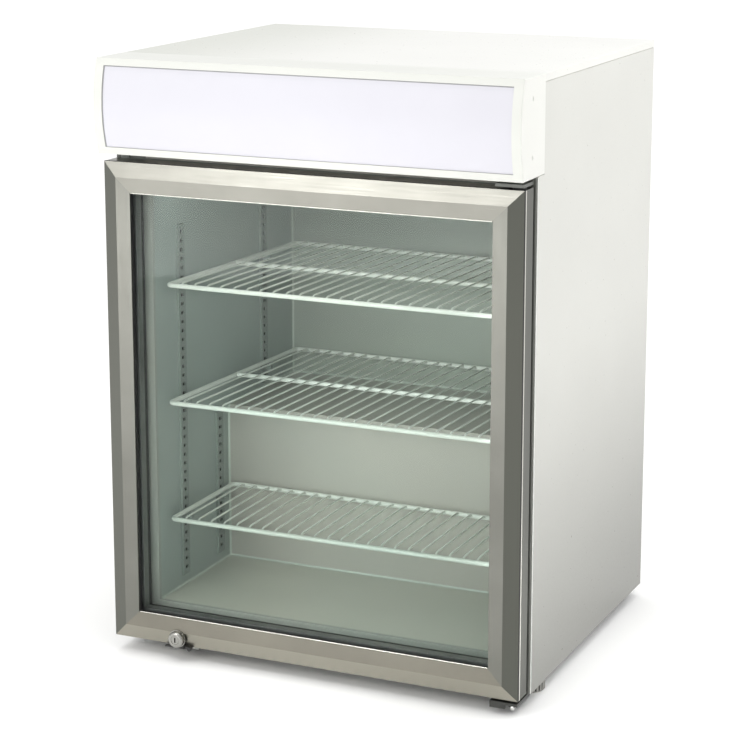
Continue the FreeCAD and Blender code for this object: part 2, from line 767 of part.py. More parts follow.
def build_door_frame():
    """Four mitred hollow members, the corner keys inside them and the hinge bushes."""
    groove_end = "ridge_rise + groove_set + groove_width"
    section = [("0", "ridge_rise"), ("ridge_inset", "0"), ("frame_width", "inner_drop"),
               ("frame_width", "lip_depth"), ("web_width", "lip_depth"), ("web_width", "member_depth"),
               ("0", "member_depth"), ("0", groove_end), ("groove_depth", groove_end),
               ("groove_depth", "ridge_rise + groove_set"), ("0", "ridge_rise + groove_set")]
    chamber = [("frame_wall", "chamber_front"), ("web_width - frame_wall", "chamber_front"),
               ("web_width - frame_wall", "member_depth - frame_wall"),
               ("frame_wall", "member_depth - frame_wall")]
    far_side = [[(f"frame_width - ({u})", v) for u, v in loop] for loop in (section, chamber)]
    near_side = [section, chamber]
    lying = [[(v, u) for u, v in loop] for loop in near_side]
    hanging = [[(v, u) for u, v in loop] for loop in far_side]
    tall = "door_top_z - door_z"
    long = "2 * door_x"
    low_left = ("-door_x", "door_ridge_y", "door_z")

    def trimmed(name, body, turn, corners):
        tools = [mitre(f"{name}Mitre{index}", x, z, turn) for index, (x, z) in enumerate(corners)]
        return cut(name, body, *tools)

    left = [("-door_x", "door_z"), ("-door_x", "door_top_z")]
    right = [("door_x", "door_z"), ("door_x", "door_top_z")]
    node(trimmed("StileLeft", extruded("StileLeftBar", "XY_Plane", near_side, tall, low_left), 45, left),
         "door_stile_left")
    node(trimmed("StileRight", extruded("StileRightBar", "XY_Plane", far_side, tall,
                                        ("door_x - frame_width", "door_ridge_y", "door_z")), 225, right),
         "door_stile_right")
    top = trimmed("RailTop", extruded("RailTopBar", "YZ_Plane", hanging, long,
                                      ("-door_x", "door_ridge_y", "door_top_z - frame_width")), 135,
                  [left[1], right[1]])
    bottom = trimmed("RailBottom", extruded("RailBottomBar", "YZ_Plane", lying, long, low_left), -45,
                     [left[0], right[0]])

    pin_at = ("pin_x", "pin_y")
    hole_radius = "bush_radius + bush_fit"
    top_hole = rod("TopBushHole", "z", hole_radius, "door_top_z - pin_reach - bush_wall",
                   f"door_top_z + {MARGIN}", pin_at)
    low_hole = rod("LowBushHole", "z", hole_radius, f"door_z - {MARGIN}",
                   "door_z + pin_reach + bush_wall", pin_at)
    lock_hole = rod("LockHole", "y", "lock_body_radius + lock_fit", f"door_ridge_y - {MARGIN}",
                    f"door_back_y + {MARGIN}", ("lock_x", "lock_z"))
    node(cut("DoorRailTop", top, top_hole), "door_rail_top")
    node(cut("DoorRailBottom", bottom, low_hole, lock_hole), "door_rail_bottom")

    inset = "frame_wall + key_gap"
    reach = "web_width - frame_wall - key_gap"
    depth = ("door_ridge_y + chamber_front + key_gap", "door_back_y - frame_wall - key_gap")
    keys = []
    for side, sign in (("Left", -1), ("Right", 1)):
        x_span = {part: (f"{inset} - door_x", f"{end} - door_x") if sign < 0
                  else (f"door_x - ({end})", f"door_x - ({inset})")
                  for part, end in (("upright", reach), ("lying", "key_leg"))}
        for level, z_low, z_high in (("Low", inset, "key_leg"), ("Top", "key_leg", inset)):
            if level == "Low":
                z_span = {"upright": (f"door_z + {z_low}", f"door_z + {z_high}"),
                          "lying": (f"door_z + {z_low}", f"door_z + {reach}")}
            else:
                z_span = {"upright": (f"door_top_z - ({z_low})", f"door_top_z - ({z_high})"),
                          "lying": (f"door_top_z - ({reach})", f"door_top_z - ({z_high})")}
            legs = [block(f"Key{side}{level}_{part}", x_span[part], depth, z_span[part])
                    for part in ("upright", "lying")]
            key = fuse(f"Key{side}{level}", *legs)
            if sign > 0:
                key = cut(f"Key{side}{level}Bored", key, low_hole if level == "Low" else top_hole)
            keys.append(key)
    node(group("CornerKeys", keys), "door_corner_keys")

    bore = "pin_radius + pin_clearance"
    bushes = []
    for name, start, turn, shoulder in (("LowBush", "door_z", 1, "door_lift - bush_gap"),
                                        ("TopBush", "door_top_z", -1, "top_bracket_lift - bush_gap")):
        barrel = "pin_reach + bush_wall / 2"
        points = [(bore, "0"), ("bush_flange", "0"), ("bush_flange", shoulder), ("bush_radius", shoulder),
                  ("bush_radius", f"{shoulder} + {barrel}"), (bore, f"{shoulder} + {barrel}")]
        bush = turned(name, "z", points, ("pin_x", "pin_y", f"{start} - ({shoulder})"))
        if turn < 0:
            over = FreeCAD.Rotation(FreeCAD.Vector(1, 0, 0), 180)
            put(bush, "pin_x", "pin_y", f"{start} + ({shoulder})", over)
        bushes.append(bush)
    node(group("HingeBushes", bushes), "hinge_bushes")


def build_glazing():
    """Two panes on a spacer bar, the seal and bead that hold them, and the door's gasket."""
    pane_x = wide("door_x - pane_inset")
    pane_z = ("door_z + pane_inset", "door_top_z - pane_inset")
    node(block("GlassOuter", pane_x, ("pane_y", "space_y"), pane_z), "glass_outer")
    node(block("GlassInner", pane_x, ("back_pane_y", "bead_y"), pane_z), "glass_inner")
    node(ring("GlassSpacer", "pane_inset + spacer_inset", "spacer_width", ("space_y", "back_pane_y")),
         "glass_spacer")
    node(ring("GlazingSeal", "pane_inset", "frame_width - pane_inset + seal_proud", ("seal_y", "pane_y")),
         "glazing_seal")
    node(ring("GlazingBead", "web_width", "frame_width - web_width", ("bead_y", "door_back_y")),
         "glazing_bead")
    foot = ring("GasketFoot", "gasket_inset", "gasket_width", ("door_back_y", "door_back_y + gasket_base"))
    bulb = ring("GasketBulb", "gasket_inset + gasket_step", "gasket_width - 2 * gasket_step",
                ("door_back_y + gasket_base", "face_y - gasket_rest_gap"))
    node(fuse("DoorGasket", foot, bulb), "door_gasket")


def build_hinges():
    """Top and bottom hinge brackets, each with its pin pressed in."""
    span = ("pin_x - bracket_inner", "pin_x + bracket_outer")
    plate_z = ("door_top_z + top_bracket_lift", "door_top_z + top_bracket_lift + bracket_gauge")
    plate = block("TopBracketPlate", span, ("bracket_front_y", "face_y"), plate_z)
    flange = block("TopBracketFlange", span, ("face_y - bracket_gauge", "face_y"),
                   (plate_z[0], "canopy_z - seam_gap"))
    pin = rod("TopPin", "z", "pin_radius", "door_top_z - pin_reach", plate_z[1], ("pin_x", "pin_y"))
    head = rod("TopPinHead", "z", "pin_head_radius", plate_z[1],
               f"{plate_z[1]} + (door_head_gap - top_bracket_lift - bracket_gauge) / 2", ("pin_x", "pin_y"))
    node(fuse("HingeBracketTop", plate, flange, pin, head), "hinge_bracket_top")

    foot_z = ("base_z - bracket_gauge", "base_z")
    foot = block("LowBracketPlate", span, ("bracket_front_y", "bracket_back_y"), foot_z)
    lip = block("LowBracketLip", (span[0], "pin_x - pin_head_radius"),
                ("bracket_front_y", "bracket_front_y + bracket_gauge"),
                (f"{foot_z[0]} - bracket_lip", foot_z[1]))
    low_pin = rod("LowPin", "z", "pin_radius", foot_z[0], "door_z + pin_reach", ("pin_x", "pin_y"))
    low_head = rod("LowPinHead", "z", "pin_head_radius", f"{foot_z[0]} - pin_head_height", foot_z[0],
                   ("pin_x", "pin_y"))
    node(fuse("HingeBracketBottom", foot, lip, low_pin, low_head), "hinge_bracket_bottom")


def build_lock():
    """Key lock in the bottom rail: seat, barrel, turning plug with its cam, and the keeper on the cabinet."""
    head_y = "door_ridge_y - lock_head_proud"
    bore = "plug_radius + plug_clearance"
    long = f"door_back_y - ({head_y})"
    head = "lock_head_proud"
    barrel = [(bore, "0"), ("lock_head_radius - lock_head_edge", "0"), ("lock_head_radius", "lock_head_edge"),
              ("lock_head_radius", head), ("lock_body_radius", head), ("lock_body_radius", long),
              (bore, long)]
    node(turned("LockBarrel", "y", barrel, ("lock_x", head_y, "lock_z")), "lock_barrel")

    key_room = "plug_radius / 6"
    plug = rod("PlugBar", "y", "plug_radius", f"{head_y} + plug_sink", "cam_y + cam_gauge",
               ("lock_x", "lock_z"))
    keyway = block("PlugKeyway", (f"lock_x - {key_room}", f"lock_x + {key_room}"),
                   (f"{head_y}", f"{head_y} + lock_head_proud"),
                   ("lock_z - plug_radius * 0.6", "lock_z + plug_radius * 0.6"))
    cam = block("LockCam", ("lock_x", "lock_x + cam_length"), ("cam_y", "cam_y + cam_gauge"),
                ("lock_z - cam_half_width", "lock_z + cam_half_width"))
    node(fuse("LockPlug", cut("PlugKeyed", plug, keyway), cam), "lock_plug")

    tip = "lock_rise - lock_body_radius"
    fall = "seat_drop"
    depth = "ridge_rise - seat_gap"
    slope = f"ridge_rise * (1 - ({tip}) / ridge_inset) - seat_gap"
    profile = [("0", "0"), (depth, "0"), (depth, fall), (slope, f"{fall} + {tip}"), ("0", f"{fall} + {tip}")]
    node(extruded("LockSeat", "YZ_Plane", [profile], "2 * seat_half_width",
                  ("lock_x - seat_half_width", "door_ridge_y", f"door_z - {fall}")), "lock_seat")

    stand = "keeper_clear + cam_length - lock_rise - keeper_gap"
    back = "front_y + keeper_lap - door_back_y + keeper_gap + keeper_gauge"
    drop = "base_z - keeper_z"
    hook = [("0", "0"), (back, "0"), (back, drop), (f"{back} - keeper_lap / 2", drop),
            (f"{back} - keeper_lap / 2", "keeper_gauge"), ("keeper_gauge", "keeper_gauge"),
            ("keeper_gauge", f"keeper_gauge + {stand}"), ("0", f"keeper_gauge + {stand}")]
    node(extruded("LockKeeper", "YZ_Plane", [hook], "2 * keeper_half_width",
                  ("lock_x - keeper_half_width", "door_back_y - keeper_gap - keeper_gauge", "keeper_z")),
         "lock_keeper")


def slot_height(index, lift="0"):
    """The formula for the middle of a numbered slot; slots count up from the foot of the strips."""
    return f"first_slot_z + {index} * slot_pitch + {lift}"


def build_strip(name, side, y, first, count, lift):
    """One slotted channel on a side wall, open towards the wall."""
    x = ("-cabin_x", "-strip_x") if side == "left" else ("strip_x", "cabin_x")
    face = ("-strip_x - strip_wall", f"-strip_x + {MARGIN}") if side == "left" else (
        f"strip_x - {MARGIN}", "strip_x + strip_wall")
    room = (f"-cabin_x - {MARGIN}", face[0]) if side == "left" else (face[1], f"cabin_x + {MARGIN}")
    low = f"{slot_height(first, lift)} - slot_start"
    high = f"{slot_height(first + count - 1, lift)} + slot_start"
    channel = cut(f"{name}Channel", block(f"{name}Bar", x, (y, f"{y} + strip_width"), (low, high)),
                  block(f"{name}Room", room, (f"{y} + strip_wall", f"{y} + strip_width - strip_wall"),
                        (f"{low} + strip_wall", f"{high} - strip_wall")))
    middle = f"{y} + strip_width / 2"
    slots = [block(f"{name}Slot{index}", face, (f"{middle} - slot_width / 2", f"{middle} + slot_width / 2"),
                   (f"{slot_height(first + index, lift)} - slot_height / 2",
                    f"{slot_height(first + index, lift)} + slot_height / 2"))
             for index in range(count)]
    return cut(name, channel, *slots)


def build_clip(name, side, y, index, lift):
    """A clip: a tongue under the shelf rail and a tab hooked into its slot."""
    z = slot_height(index, lift)
    tongue = "shelf_side_gap + 2 * bar_radius"
    tab = "strip_wall + clip_tab_reach"
    if side == "left":
        tongue_x = ("-strip_x", f"{tongue} - strip_x")
        tab_x = (f"-strip_x - ({tab})", "-strip_x")
    else:
        tongue_x = (f"strip_x - ({tongue})", "strip_x")
        tab_x = ("strip_x", f"strip_x + {tab}")
    return fuse(name,
                block(f"{name}Tongue", tongue_x, (f"{y} - clip_width / 2", f"{y} + clip_width / 2"),
                      (f"{z} - clip_drop", f"{z} + clip_rise")),
                block(f"{name}Tab", tab_x,
                      (f"{y} - slot_width / 2 + clip_fit", f"{y} + slot_width / 2 - clip_fit"),
                      (f"{z} - slot_height / 2 + clip_fit", f"{z} + slot_height / 2 - clip_fit")))


def wire_shelf(name, back, braced):
    """A coated wire shelf about its front clips: a bent hoop, front-to-back wires and, if braced, a middle bar."""
    side = value("rail_x")
    front = value("front_y + shelf_set - clip_front_y")
    rear = value(f"{back} - clip_front_y")
    bar = value("bar_radius")
    corners = [(-side, front, 0), (side, front, 0), (side, rear, 0), (-side, rear, 0)]
    hoop = pipe(f"{name}Hoop", bar, corners, value("shelf_bend"), closed=True)
    reach = f"{back} - clip_front_y"
    near = "front_y + shelf_set - clip_front_y"
    middle = f"({near} + {reach}) / 2"
    cross = [rod(f"{name}Cross", "x", "bar_radius", *wide("rail_x"), (middle, "0"))] if braced else []
    count = int(value("2 * (rail_x - bar_radius - wire_radius - wire_edge)") / value("wire_pitch")) + 1
    wires = [rod(f"{name}Wire{index}", "y", "wire_radius", near, reach,
                 (f"{index - (count - 1) / 2} * wire_pitch", "wire_z"))
             for index in range(count)]
    return fuse(name, hoop, *cross, *wires)


def build_shelving():
    """Slotted strips, clips and the three shelves; the two upper shelves hang one slot lower at the back.

    The rear strips sit a little higher than the front ones, which takes up part of that slot.
    """
    pitch = value("slot_pitch")
    usable = value("header_z - base_z - strip_head_gap - strip_lift - 2 * slot_start")
    front_count = int(usable / pitch) + 1
    low_count = int(value("step_height - strip_lift - 2 * slot_start") / pitch) + 1
    rear_first = math.ceil(value("step_height - strip_lift") / pitch)
    middle_slot = rear_first + 2
    top_slot = middle_slot + int(value("shelf_spacing_slots"))
    low_slot = int(value("low_slot"))
    runs = {"Front": ("front_y + strip_set", 0, front_count, "0"),
            "Rear": ("front_y + rear_strip_set", rear_first, front_count + 2 - rear_first, "rear_slot_lift"),
            "Low": ("front_y + low_strip_set", 0, low_count, "0")}
    strips = [build_strip(f"Strip{run}_{side}", side, *run_size)
              for side in ("left", "right") for run, run_size in runs.items()]
    node(group("ShelfStrips", strips), "shelf_strips")

    seats = {"Top": (top_slot, top_slot - 1, "clip_rear_y", "rear_slot_lift"),
             "Middle": (middle_slot, middle_slot - 1, "clip_rear_y", "rear_slot_lift"),
             "Bottom": (low_slot, low_slot, "clip_low_y", "0")}
    clips = []
    for name, (front, rear, rear_y, lift) in seats.items():
        for side in ("left", "right"):
            clips.append(build_clip(f"ClipFront{name}_{side}", side, "clip_front_y", front, "0"))
            clips.append(build_clip(f"ClipRear{name}_{side}", side, rear_y, rear, lift))
    node(group("ShelfClips", clips), "shelf_clips")

    deep = wire_shelf("DeepShelf", "cabin_back_y - shelf_back_gap - bar_radius", True)
    shallow = wire_shelf("ShallowShelf", "step_y - shelf_back_gap - bar_radius", False)
    for name, (front, rear, rear_y, lift) in seats.items():
        shelf = group(f"Shelf{name}", [shallow if name == "Bottom" else deep])
        rest = f"{slot_height(front)} + clip_rise + shelf_rest_gap + bar_radius"
        put(shelf, "0", "clip_front_y", rest, FreeCAD.Rotation(FreeCAD.Vector(-1, 0, 0), 1))
        drop = f"{front - rear} * slot_pitch - {lift}"
        bind(shelf, "Placement.Rotation.Angle", f"atan(({drop}) / ({rear_y} - clip_front_y))")
        node(shelf, f"shelf_{name.lower()}")


def propeller(name, tip):
    """A bored hub with pitched blades, about the Z axis from the origin."""
    hub = rod(f"{name}Hub", "z", "hub_radius", "0", "hub_length", ("0", "0"))
    flat = block(f"{name}Flat", ("hub_radius / 2", tip), wide("blade_chord / 2"), wide("blade_gauge / 2"))
    pitched = turned_copy(f"{name}Pitched", flat, FreeCAD.Rotation(FreeCAD.Vector(1, 0, 0), BLADE_PITCH))
    bind(pitched, "Placement.Base.z", "hub_length / 2")
    count = int(value("blade_count"))
    blades = [turned_copy(f"{name}Blade{index}", pitched, FreeCAD.Rotation(UP, 360 * index / count))
              for index in range(count)]
    bore = rod(f"{name}Bore", "z", "shaft_radius + shaft_clearance", f"-{MARGIN}", f"hub_length + {MARGIN}",
               ("0", "0"))
    return cut(f"{name}Bored", fuse(f"{name}Solid", hub, *blades), bore)


def fan_motor(name, stand, foot_radius):
    """A motor with its shaft along -Z and a bridge with two feet, about the Z axis from the hub's foot."""
    low = "hub_length + motor_gap"
    body = rod(f"{name}Can", "z", "motor_radius", low, f"{low} + motor_length", ("0", "0"))
    shaft = rod(f"{name}Shaft", "z", "shaft_radius", "shaft_end_gap", low, ("0", "0"))
    bridge_x = wide(f"{foot_radius} + bridge_margin")
    bridge = block(f"{name}Bridge", bridge_x, wide("bridge_width / 2"), (low, f"{low} + bridge_gauge"))
    feet = [block(f"{name}Foot{index}", span, wide("bridge_width / 2"), (stand, low))
            for index, span in enumerate(((bridge_x[0], f"bridge_gauge - ({bridge_x[1]})"),
                                          (f"{bridge_x[1]} - bridge_gauge", bridge_x[1])))]
    return fuse(name, body, shaft, bridge, *feet)


def build_evaporator():
    """Cover, coil and fan above the cabin."""
    side = "cabin_x - cover_side_gap"
    near = "chamber_y + cover_side_gap"
    tray = block("CoverTray", wide(side), (near, "cover_back_y"), ("header_z", "ceiling_z"))
    room = block("CoverRoom", wide(f"{side} - cover_gauge"),
                 (f"{near} + cover_gauge", f"cover_back_y + {MARGIN}"),
                 ("cover_top_z", f"ceiling_z + {MARGIN}"))
    hole = rod("CoverFanHole", "z", "fan_hole", f"header_z - {MARGIN}", f"header_z + {MARGIN}",
               ("0", "cabin_fan_y"))
    node(cut("EvaporatorCover", cut("CoverShell", tray, room), hole), "evaporator_cover")

    coil_z = ("cover_top_z", "cover_top_z + coil_height")
    coil_y = ("coil_front_y", "coil_back_y")
    coil = block("CoilBlock", wide("coil_half_length"), coil_y, coil_z)
    count = int(value("2 * coil_half_length") / value("fin_pitch")) - 1
    gaps = []
    for index in range(count):
        middle = f"{index - (count - 1) / 2} * fin_pitch"
        gaps.append(block(f"CoilGap{index}", (f"{middle} - fin_gap / 2", f"{middle} + fin_gap / 2"),
                          coil_y, (f"{coil_z[1]} - fin_cut", coil_z[1])))
    node(cut("EvaporatorCoil", coil, *gaps), "evaporator_coil")

    motor = group("EvaporatorFanMotor", [fan_motor("CabinMotor", "cover_top_z - cabin_hub_z", "fan_hole")])
    node(put(motor, "0", "cabin_fan_y", "cabin_hub_z"), "evaporator_fan_motor")
    blade = group("EvaporatorFanBlade", [propeller("CabinFan", "cabin_fan_radius")])
    node(put(blade, "0", "cabin_fan_y", "cabin_hub_z"), "evaporator_fan_blade")


def build_machine_bay():
    """Condenser and its fan, compressor, pipes, rear grille, cable gland and thermostat knob."""
    depth = ("condenser_y", "condenser_back_y")
    height = ("bay_floor_z", "bay_floor_z + condenser_height")
    core = block("CondenserCore", ("condenser_x", "shroud_x"), depth, height)
    plate = block("ShroudPlate", ("shroud_x", "bay_hub_x"), depth, height)
    axis = ("bay_fan_y", "bay_fan_z")
    collar_x = "bay_hub_x + shroud_collar"
    collar = rod("ShroudCollar", "x", "collar_radius + shroud_wall", "shroud_x", collar_x, axis)
    throat = rod("ShroudThroat", "x", "collar_radius", "shroud_x", f"{collar_x} + {MARGIN}", axis)
    count = int(value("condenser_height") / value("fin_pitch"))
    gaps = [block(f"CondenserGap{index}", ("condenser_x", "condenser_x + fin_cut"), depth,
                  (f"bay_fan_z + {index - (count - 1) / 2} * fin_pitch - fin_gap / 2",
                   f"bay_fan_z + {index - (count - 1) / 2} * fin_pitch + fin_gap / 2"))
            for index in range(count)]
    shroud = cut("Shroud", fuse("ShroudSolid", plate, collar), throat)
    node(fuse("Condenser", cut("CondenserFins", core, *gaps), shroud), "condenser")

    motor = group("CondenserFanMotor", [fan_motor("BayMotor", "0", "collar_radius")])
    node(put(motor, "bay_hub_x", "bay_fan_y", "bay_fan_z", TURNS["x"]), "condenser_fan_motor")
    blade = group("CondenserFanBlade", [propeller("BayFan", "bay_fan_radius")])
    node(put(blade, "bay_hub_x", "bay_fan_y", "bay_fan_z", TURNS["x"]), "condenser_fan_blade")

    pot = "compressor_radius"
    tall = "compressor_height"
    shoulder = "compressor_radius / 3"
    dome = [("0", "mount_height"), (f"{pot} - {shoulder}", "mount_height"),
            (pot, f"mount_height + {shoulder}"), (pot, f"{tall} - {shoulder}"),
            (f"{pot} - {shoulder}", tall), ("0", tall)]
    shell = turned("CompressorShell", "z", dome, ("compressor_x", "bay_fan_y", "bay_floor_z"))
    plate_top = "bay_floor_z + mount_height + bracket_gauge"
    mounts = [rod(f"CompressorMount{index}", "z", "mount_radius", "bay_floor_z", plate_top,
                  (f"compressor_x + {x} * mount_spread", f"bay_fan_y + {y} * mount_spread"))
              for index, (x, y) in enumerate(((-1, -1), (1, -1), (1, 1), (-1, 1)))]
    reach = "(mount_spread + mount_radius + mount_margin)"
    foot = block("CompressorFoot", (f"compressor_x - {reach}", f"compressor_x + {reach}"),
                 (f"bay_fan_y - {reach}", f"bay_fan_y + {reach}"), ("bay_floor_z + mount_height", plate_top))
    node(fuse("Compressor", shell, foot, *mounts), "compressor")

    build_pipes()
    build_grille()


def build_pipes():
    """Discharge pipe from the compressor to the condenser, and the drier on the way to the back wall."""
    radius = value("pipe_radius")
    bend = value("pipe_bend")
    run_y = value("bay_y + bay_gap + drier_radius + pipe_bend")
    pot_top = value("bay_floor_z + compressor_height")
    roof = value("bay_z")
    level = (pot_top + roof) / 2
    core_top = value("bay_floor_z + condenser_height")
    core_x = value("condenser_x + condenser_width / 2")
    pot_x = value("compressor_x")
    pot_y = value("bay_fan_y")
    discharge = pipe("DischargePipe", radius,
                     [(pot_x, pot_y, pot_top), (pot_x, pot_y, level), (pot_x, run_y, level),
                      (core_x, run_y, level), (core_x, run_y, core_top)], bend)
    drier_low = "bay_floor_z + mount_height"
    drier_at = ("(compressor_x + bay_hub_x) / 2 + motor_length", "bay_y + bay_gap + drier_radius")
    drier = rod("Drier", "z", "drier_radius", drier_low, f"{drier_low} + drier_length", drier_at)
    stand = rod("DrierStand", "z", "pipe_radius", "bay_floor_z", drier_low, drier_at)
    riser = rod("DrierRiser", "z", "pipe_radius", f"{drier_low} + drier_length", "bay_z", drier_at)
    node(group("RefrigerantPipes", [discharge, fuse("DrierLine", drier, stand, riser)]), "refrigerant_pipes")


def build_grille():
    """Louvred rear grille with its screws, the gland for the mains lead and the thermostat knob."""
    back = "grille_y + panel_gauge"
    span = wide("inner_x - grille_gap")
    plate = block("GrillePlate", span, ("grille_y", back), ("bay_floor_z", "bay_z - grille_gap"))
    through = (f"grille_y - {MARGIN}", f"{back} + {MARGIN}")
    rows = int(value("grille_rows"))
    columns = int(value("grille_columns"))
    middle_z = "(bay_floor_z + bay_z) / 2"
    tools = []
    for row in range(rows):
        for column in range(columns):
            x = f"{column - (columns - 1) / 2} * (louvre_length + louvre_gap)"
            z = f"{middle_z} + {row - (rows - 1) / 2} * louvre_pitch"
            tools.append(block(f"Louvre{row}_{column}",
                               (f"{x} - louvre_length / 2", f"{x} + louvre_length / 2"), through,
                               (f"{z} - louvre_height / 2", f"{z} + louvre_height / 2")))
    tools.append(rod("GlandHole", "y", "gland_radius + gland_fit", *through, ("gland_x", "gland_z")))
    tools.append(rod("KnobHole", "y", "shaft_radius + shaft_clearance", *through, ("knob_x", "knob_z")))
    node(cut("RearGrille", plate, *tools), "rear_grille")

    inside = "gland_length - gland_flange_gauge"
    gland = [("gland_bore", "0"), ("gland_radius", "0"), ("gland_radius", inside), ("gland_flange", inside),
             ("gland_flange", "gland_length"), ("gland_bore", "gland_length")]
    node(turned("CableGland", "y", gland, ("gland_x", f"{back} - ({inside})", "gland_z")), "cable_gland")

    stem = "knob_shaft_reach + panel_gauge + knob_gap"
    crown = f"{stem} + knob_depth"
    knob = [("0", "0"), ("shaft_radius", "0"), ("shaft_radius", stem), ("knob_radius", stem),
            ("knob_radius - knob_depth / 4", crown), ("0", crown)]
    skirt = turned("KnobBody", "y", knob, ("knob_x", "grille_y - knob_shaft_reach", "knob_z"))
    mark = block("KnobMark", ("knob_x - shaft_radius / 3", "knob_x + shaft_radius / 3"),
                 (f"{back} + knob_gap + knob_depth * 0.8", f"{back} + knob_gap + knob_depth + {MARGIN}"),
                 ("knob_z", f"knob_z + knob_radius + {MARGIN}"))
    node(cut("ThermostatKnob", skirt, mark), "thermostat_knob")


def build_feet():
    """Four ribbed levelling feet, each with a stud that turns in its nut in the base pan."""
    body = "foot_height - foot_gap"
    top = "foot_height + stud_reach"
    points = [("0", "0"), ("foot_radius - foot_chamfer", "0"), ("foot_radius", "foot_chamfer"),
              ("foot_radius", body), ("stud_radius", body), ("stud_radius", top), ("0", top)]
    plain = turned("FootPlain", "z", points, ("0", "0", "0"))
    groove = rod("FootGroove", "z", "rib_radius", "0", f"{body} + foot_gap",
                 ("foot_radius + rib_radius / 3", "0"))
    count = int(value("rib_count"))
    grooves = [turned_copy(f"FootGroove{index}", groove, FreeCAD.Rotation(UP, 360 * index / count))
               for index in range(count)]
    foot = cut("FootRibbed", plain, *grooves)
    for name, (x, y) in FOOT_CORNERS.items():
        node(put(group(name, [foot]), x, y, "0"), name)


def write_nodes():
    """Check every object and every piece, then write one file for each piece."""
    doc.recompute()
    for item in doc.Objects:
        if "Invalid" in item.State or "Error" in item.State:
            raise RuntimeError(f"{item.Label} failed: {item.State}")
    for item in nodes:
        if item.Shape.isNull() or not item.Shape.isValid() or not item.Shape.Solids:
            raise RuntimeError(f"{item.Label} is not a valid solid")
    for item in nodes:
        item.Shape.exportStep(f"parts/{item.Label}.step")
    print(f"wrote {len(nodes)} pieces")


build_shell()
build_liner()
cover_screws = build_canopy()
node(group("CoverScrews", cover_screws), "cover_screws")
build_door_frame()
build_glazing()
build_hinges()
build_lock()
build_shelving()
build_evaporator()
build_machine_bay()
build_feet()
write_nodes()
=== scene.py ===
"""Countertop display freezer: finishes for its solids, its fine pieces, and the studio it stands in.

Sizes are in millimetres and become metres where a mesh is made. X runs to the viewer's right,
Y to the back, Z up, and the floor is at Z = 0.
"""
from __future__ import annotations

import logging
import math
from collections.abc import Iterable, Sequence
from dataclasses import dataclass, replace
from enum import Enum
from functools import cache

import bmesh
import bpy
import numpy as np
from mathutils import Euler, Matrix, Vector

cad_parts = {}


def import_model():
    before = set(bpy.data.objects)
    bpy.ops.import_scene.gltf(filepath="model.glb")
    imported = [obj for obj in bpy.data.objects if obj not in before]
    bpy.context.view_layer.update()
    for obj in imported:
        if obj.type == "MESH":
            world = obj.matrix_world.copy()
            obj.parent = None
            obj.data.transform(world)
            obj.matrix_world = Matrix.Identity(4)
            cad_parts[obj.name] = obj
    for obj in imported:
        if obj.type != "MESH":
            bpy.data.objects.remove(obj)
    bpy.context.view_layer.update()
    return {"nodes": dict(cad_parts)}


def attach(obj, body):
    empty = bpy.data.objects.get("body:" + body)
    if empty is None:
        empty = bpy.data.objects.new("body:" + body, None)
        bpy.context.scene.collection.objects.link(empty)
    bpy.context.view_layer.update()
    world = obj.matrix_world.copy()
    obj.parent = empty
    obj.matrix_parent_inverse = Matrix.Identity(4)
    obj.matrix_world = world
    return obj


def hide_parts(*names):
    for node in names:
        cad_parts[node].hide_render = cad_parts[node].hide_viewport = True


Tree = bpy.types.NodeTree
Socket = bpy.types.NodeSocket
Point = Sequence[float]
Profile = tuple[tuple[float, float], ...]

LOG = logging.getLogger("freezer")
MM = 0.001
MERGE_DISTANCE = 1e-6
SHARP_ANGLE = math.radians(38.0)
QUARTER_TURN = math.pi / 2.0
BOTH_SIDES = (-1.0, 1.0)
NOISE_DETAIL = 3.0
CLOUD_SPAN = (0.3, 0.7)
MARK_SPAN = (0.25, 0.75)
BAND_REPEATS = 20.0 / (2.0 * math.pi)


# Colours and shader nodes

def linear(colour: str) -> tuple[float, float, float, float]:
    """Turn an sRGB hex colour into linear light.

    A channel up to 0.04045 is divided by 12.92; above that it is shifted by 0.055, divided by
    1.055 and raised to the power 2.4.

    Args:
        colour: six hex digits after a hash sign.

    Returns:
        Red, green, blue and an alpha of one.
    """
    coded = np.array([int(colour[start:start + 2], 16) for start in (1, 3, 5)]) / 255.0
    curved = ((coded + 0.055) / 1.055) ** 2.4
    red, green, blue = np.where(coded <= 0.04045, coded / 12.92, curved).tolist()
    return red, green, blue, 1.0


def add(tree: Tree, kind: str, settings: dict | None = None, links: dict | None = None) -> bpy.types.Node:
    """Add one node to a tree.

    Args:
        tree: the material's or world's node tree.
        kind: Blender's name for the node type.
        settings: values for the node's own properties and unlinked inputs, by name or number.
        links: output sockets that feed the node's inputs, by name or number.

    Returns:
        The new node.
    """
    node = tree.nodes.new(kind)
    for key, setting in (settings or {}).items():
        if isinstance(key, int) or key in node.inputs:
            node.inputs[key].default_value = setting
        else:
            setattr(node, key, setting)
    for key, source in (links or {}).items():
        tree.links.new(source, node.inputs[key])
    return node


class Run(Enum):
    """Which way a finish's fine marks run, as the squeeze of its pattern along X, Y and Z."""

    EVEN = (1.0, 1.0, 1.0)
    ALONG_X = (0.015, 1.0, 1.0)
    ALONG_Z = (1.0, 1.0, 0.015)


